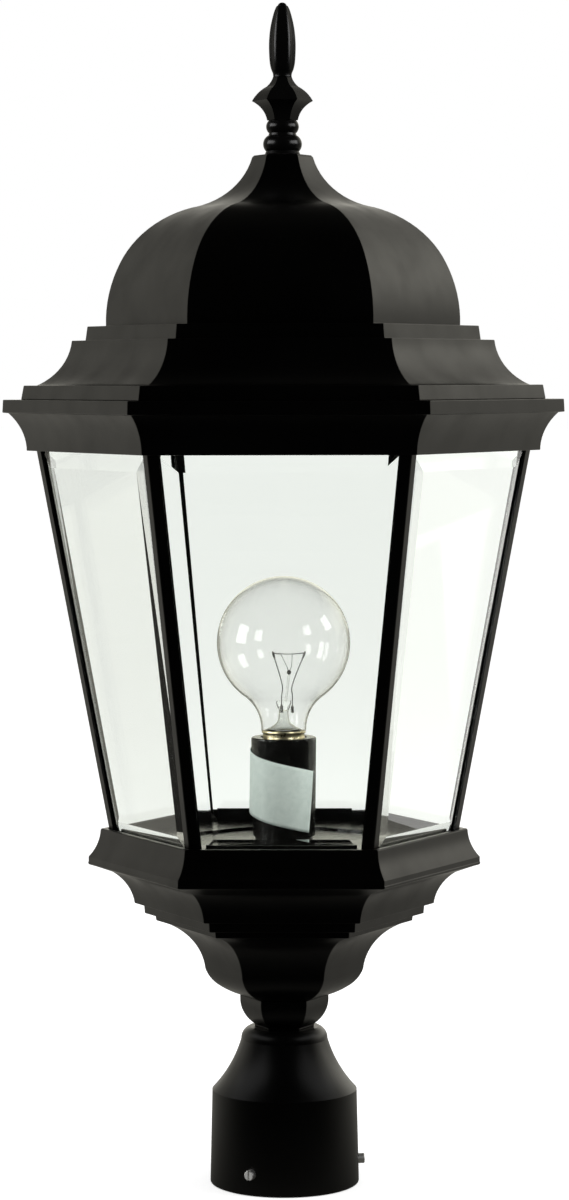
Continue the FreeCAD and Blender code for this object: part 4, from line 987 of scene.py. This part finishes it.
def bead_and_hooks(foot, top):
    """Glass rod with a bead at its head, two hooks that grow out of the bead, and their ends."""
    bead = Vector((BEAD_X, 0, top - BEAD_DROP))
    rod_foot = Vector((BEAD_ROD_X, 0, foot - BEAD_ROD_DROP))
    rod_head = bead - Vector((0, 0, BEAD_ROD_GAP))
    rod = smooth_line([rod_foot, rod_foot.lerp(rod_head, 0.5), rod_head], steps=4)
    mesh = bmesh.new()
    swept_wire(mesh, rod, [BEAD_ROD_RADIUS] * len(rod), sides=12)
    add_piece(mesh, "support_rod", None, "stem_glass", "bulb", angle=60)

    mesh = bmesh.new()
    place = Matrix.Translation(bead)
    bmesh.ops.create_icosphere(mesh, subdivisions=3, radius=BEAD_RADIUS, matrix=place)
    hooks = []
    for side in (-1, 1):
        hook = Vector((HOOK_MIDDLE + side * HOOK_SPREAD, -HOOK_FORWARD, top - HOOK_DROP))
        hooks.append(hook)
        bend = bead + Vector((side * HOOK_BEND[0], *HOOK_BEND[1:]))
        line = smooth_line([bead, bend, hook + Vector((0, 0, HOOK_END))])
        swept_wire(mesh, line, [HOOK_WIRE] * len(line), sides=6)
    add_piece(mesh, "support_wires", None, "filament", "bulb", angle=60)
    return hooks


def bulb_wires():
    """Lead wires, bead and hooks, and the coil that hangs from tip to hook to hook to tip."""
    low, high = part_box("bulb_leads")
    left_tip, right_tip = lead_wires(low[2], high[2])
    left_hook, right_hook = bead_and_hooks(low[2], high[2])
    winding = coil(smooth_line([left_tip, left_hook, right_hook, right_tip], steps=60))
    mesh = bmesh.new()
    swept_wire(mesh, winding, [COIL_WIRE] * len(winding), sides=5)
    add_piece(mesh, "filament_coil", "bulb_filament", "filament", "bulb", angle=80)


def coil(line):
    """Points of a coil wound about a line."""
    out = []
    walked = 0.0
    for a, b in zip(line, line[1:]):
        way = (b - a).normalized()
        across = way.cross(Vector((0, 0, 1))).normalized()
        lift = across.cross(way)
        length = (b - a).length
        steps = max(2, round(length / COIL_PITCH * COIL_STEPS))
        for k in range(steps):
            share = k / steps
            turn = FULL_TURN * (walked + share * length) / COIL_PITCH
            spoke = math.cos(turn) * across + math.sin(turn) * lift
            out.append(a.lerp(b, share) + COIL_RADIUS * spoke)
        walked += length
    return out


def bulb_stem():
    """Hollow flared stem, blown thin, with the press that holds the leads."""
    low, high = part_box("bulb_stem")
    flare_r, flare_z, top_z = high[0] - STEM_LIP, low[2], high[2]
    press_z = top_z - STEM_PRESS_DROP
    profile = [(flare_r, flare_z)]
    for step in range(1, STEM_FLARE_STEPS + 1):
        share = step / STEM_FLARE_STEPS
        r = STEM_NECK + (flare_r - STEM_NECK) * (1 - share) ** STEM_FLARE_CURVE
        profile.append((r, flare_z + STEM_FLARE_HEIGHT * share))
    profile.append((STEM_PRESS_R, press_z))
    outer = [round_ring(r, z, STEM_SIDES) for r, z in profile]
    for share in STEM_PRESS_STEPS:
        wide = 1 + STEM_PRESS_SPREAD * share / STEM_PRESS_R
        thick = 1 - STEM_PRESS_SQUEEZE * share / STEM_PRESS_R
        z = press_z + STEM_PRESS_HEIGHT * share
        outer.append([Vector((p.x * wide, p.y * thick, z))
                      for p in round_ring(STEM_PRESS_R, 0, STEM_SIDES)])
    outer.append([Vector((p.x * STEM_TOP_WIDTH, p.y * STEM_TOP_DEPTH, top_z)) for p in outer[-1]])
    inside = [round_ring(r - STEM_WALL, z, STEM_SIDES) for r, z in reversed(profile)]
    mesh = bmesh.new()
    rings = [[mesh.verts.new(point) for point in ring] for ring in outer + inside]
    last = len(outer)
    skin_rings(mesh, rings[:last], closed=False)
    mesh.faces.new(rings[last - 1])
    mesh.faces.new(rings[last])
    skin_rings(mesh, rings[last:] + rings[:1], closed=False)
    let_light_pass(add_piece(mesh, "blown_stem", "bulb_stem", "stem_glass", "bulb", angle=60))


def socket_paper(name, node, body):
    """Blank paper label wound aslant round the socket. It stands off a little at the left and foot,
    and its free edge lifts."""
    low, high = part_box("socket_body")
    radius = high[0]
    across, along = PAPER_GRID
    mesh = bmesh.new()
    grid = []
    for j in range(along + 1):
        up = j / along
        reach = PAPER_END - (1 - up) * PAPER_LEAN - PAPER_START
        row = []
        for k in range(across + 1):
            share = k / across
            angle = PAPER_START + reach * share
            z = low[2] + PAPER_LOW + PAPER_HEIGHT * up - (angle - PAPER_LEVEL) * PAPER_FALL
            off = (angle - PAPER_BULGE_ANGLE) / PAPER_BULGE_WIDTH
            bulge = PAPER_BULGE * math.exp(-off ** 2) * (PAPER_BULGE_FOOT - up)
            phase = PAPER_RIPPLES * angle + PAPER_RIPPLE_LEAN * up
            ripple = PAPER_RIPPLE * math.sin(phase) * 4 * share * (1 - share)
            free = max(0.0, (share - PAPER_CURL_START) / (1 - PAPER_CURL_START))
            curl = PAPER_CURL * free ** 2 * (1 - (1 - PAPER_CURL_HEAD) * up)
            r = radius + PAPER_GAP + bulge + max(ripple, -PAPER_DIP) + curl
            row.append(mesh.verts.new((r * math.sin(angle), -r * math.cos(angle), z)))
        grid.append(row)
    for low_row, high_row in zip(grid, grid[1:]):
        for k in range(across):
            mesh.faces.new((low_row[k], low_row[k + 1], high_row[k + 1], high_row[k]))
    piece = add_piece(mesh, name, node, "paper_wrap", body, angle=60)
    sheet = piece.modifiers.new("paper", "SOLIDIFY")
    sheet.thickness = PAPER_THICKNESS
    sheet.offset = 0


def dress_nodes():
    """Material for every node of the frame, by the record's slots."""
    for part in frame["record"]["subparts"]:
        node = part["node"]
        finish_surface(nodes[node], part["material_slot"])
        if node in OWN_FINISH:
            nodes[node].data.materials[0] = OWN_FINISH[node]
        if part["material_slot"] in CLEAR_SLOTS:
            let_light_pass(nodes[node])


def main():
    """Dress the nodes, build the pieces that stand for some of them, and light it all."""
    bpy.context.scene.view_settings.view_transform = "Standard"
    add_camera()
    add_world()
    add_floor()
    dress_nodes()
    for k in range(1, 7):
        soften_edges("corner_post_%d" % k, POST_ROUND)
        soften_edges("bottom_rail_%d" % k, POST_ROUND)
        bevelled_pane("bevelled_pane_%d" % k, "glass_pane_%d" % k, "lantern")
    for node, width in EDGE_ROUNDS.items():
        soften_edges(node, width)
    for name, node, body in CASTINGS:
        hexagonal_casting(name, node, body)
    threaded_rod("threaded_rod", "finial_rod", ROD_PITCH)
    threaded_rod("threaded_nipple", "nipple", PIPE_PITCH, PIPE_BORE)
    bulb_screw_base("screw_base", "bulb_base")
    socket_screw_shell("screw_shell", "socket_shell")
    bulb_stem()
    bulb_wires()
    socket_paper("paper_label", "socket_wrap", "lantern")
    add_lamps()


main()
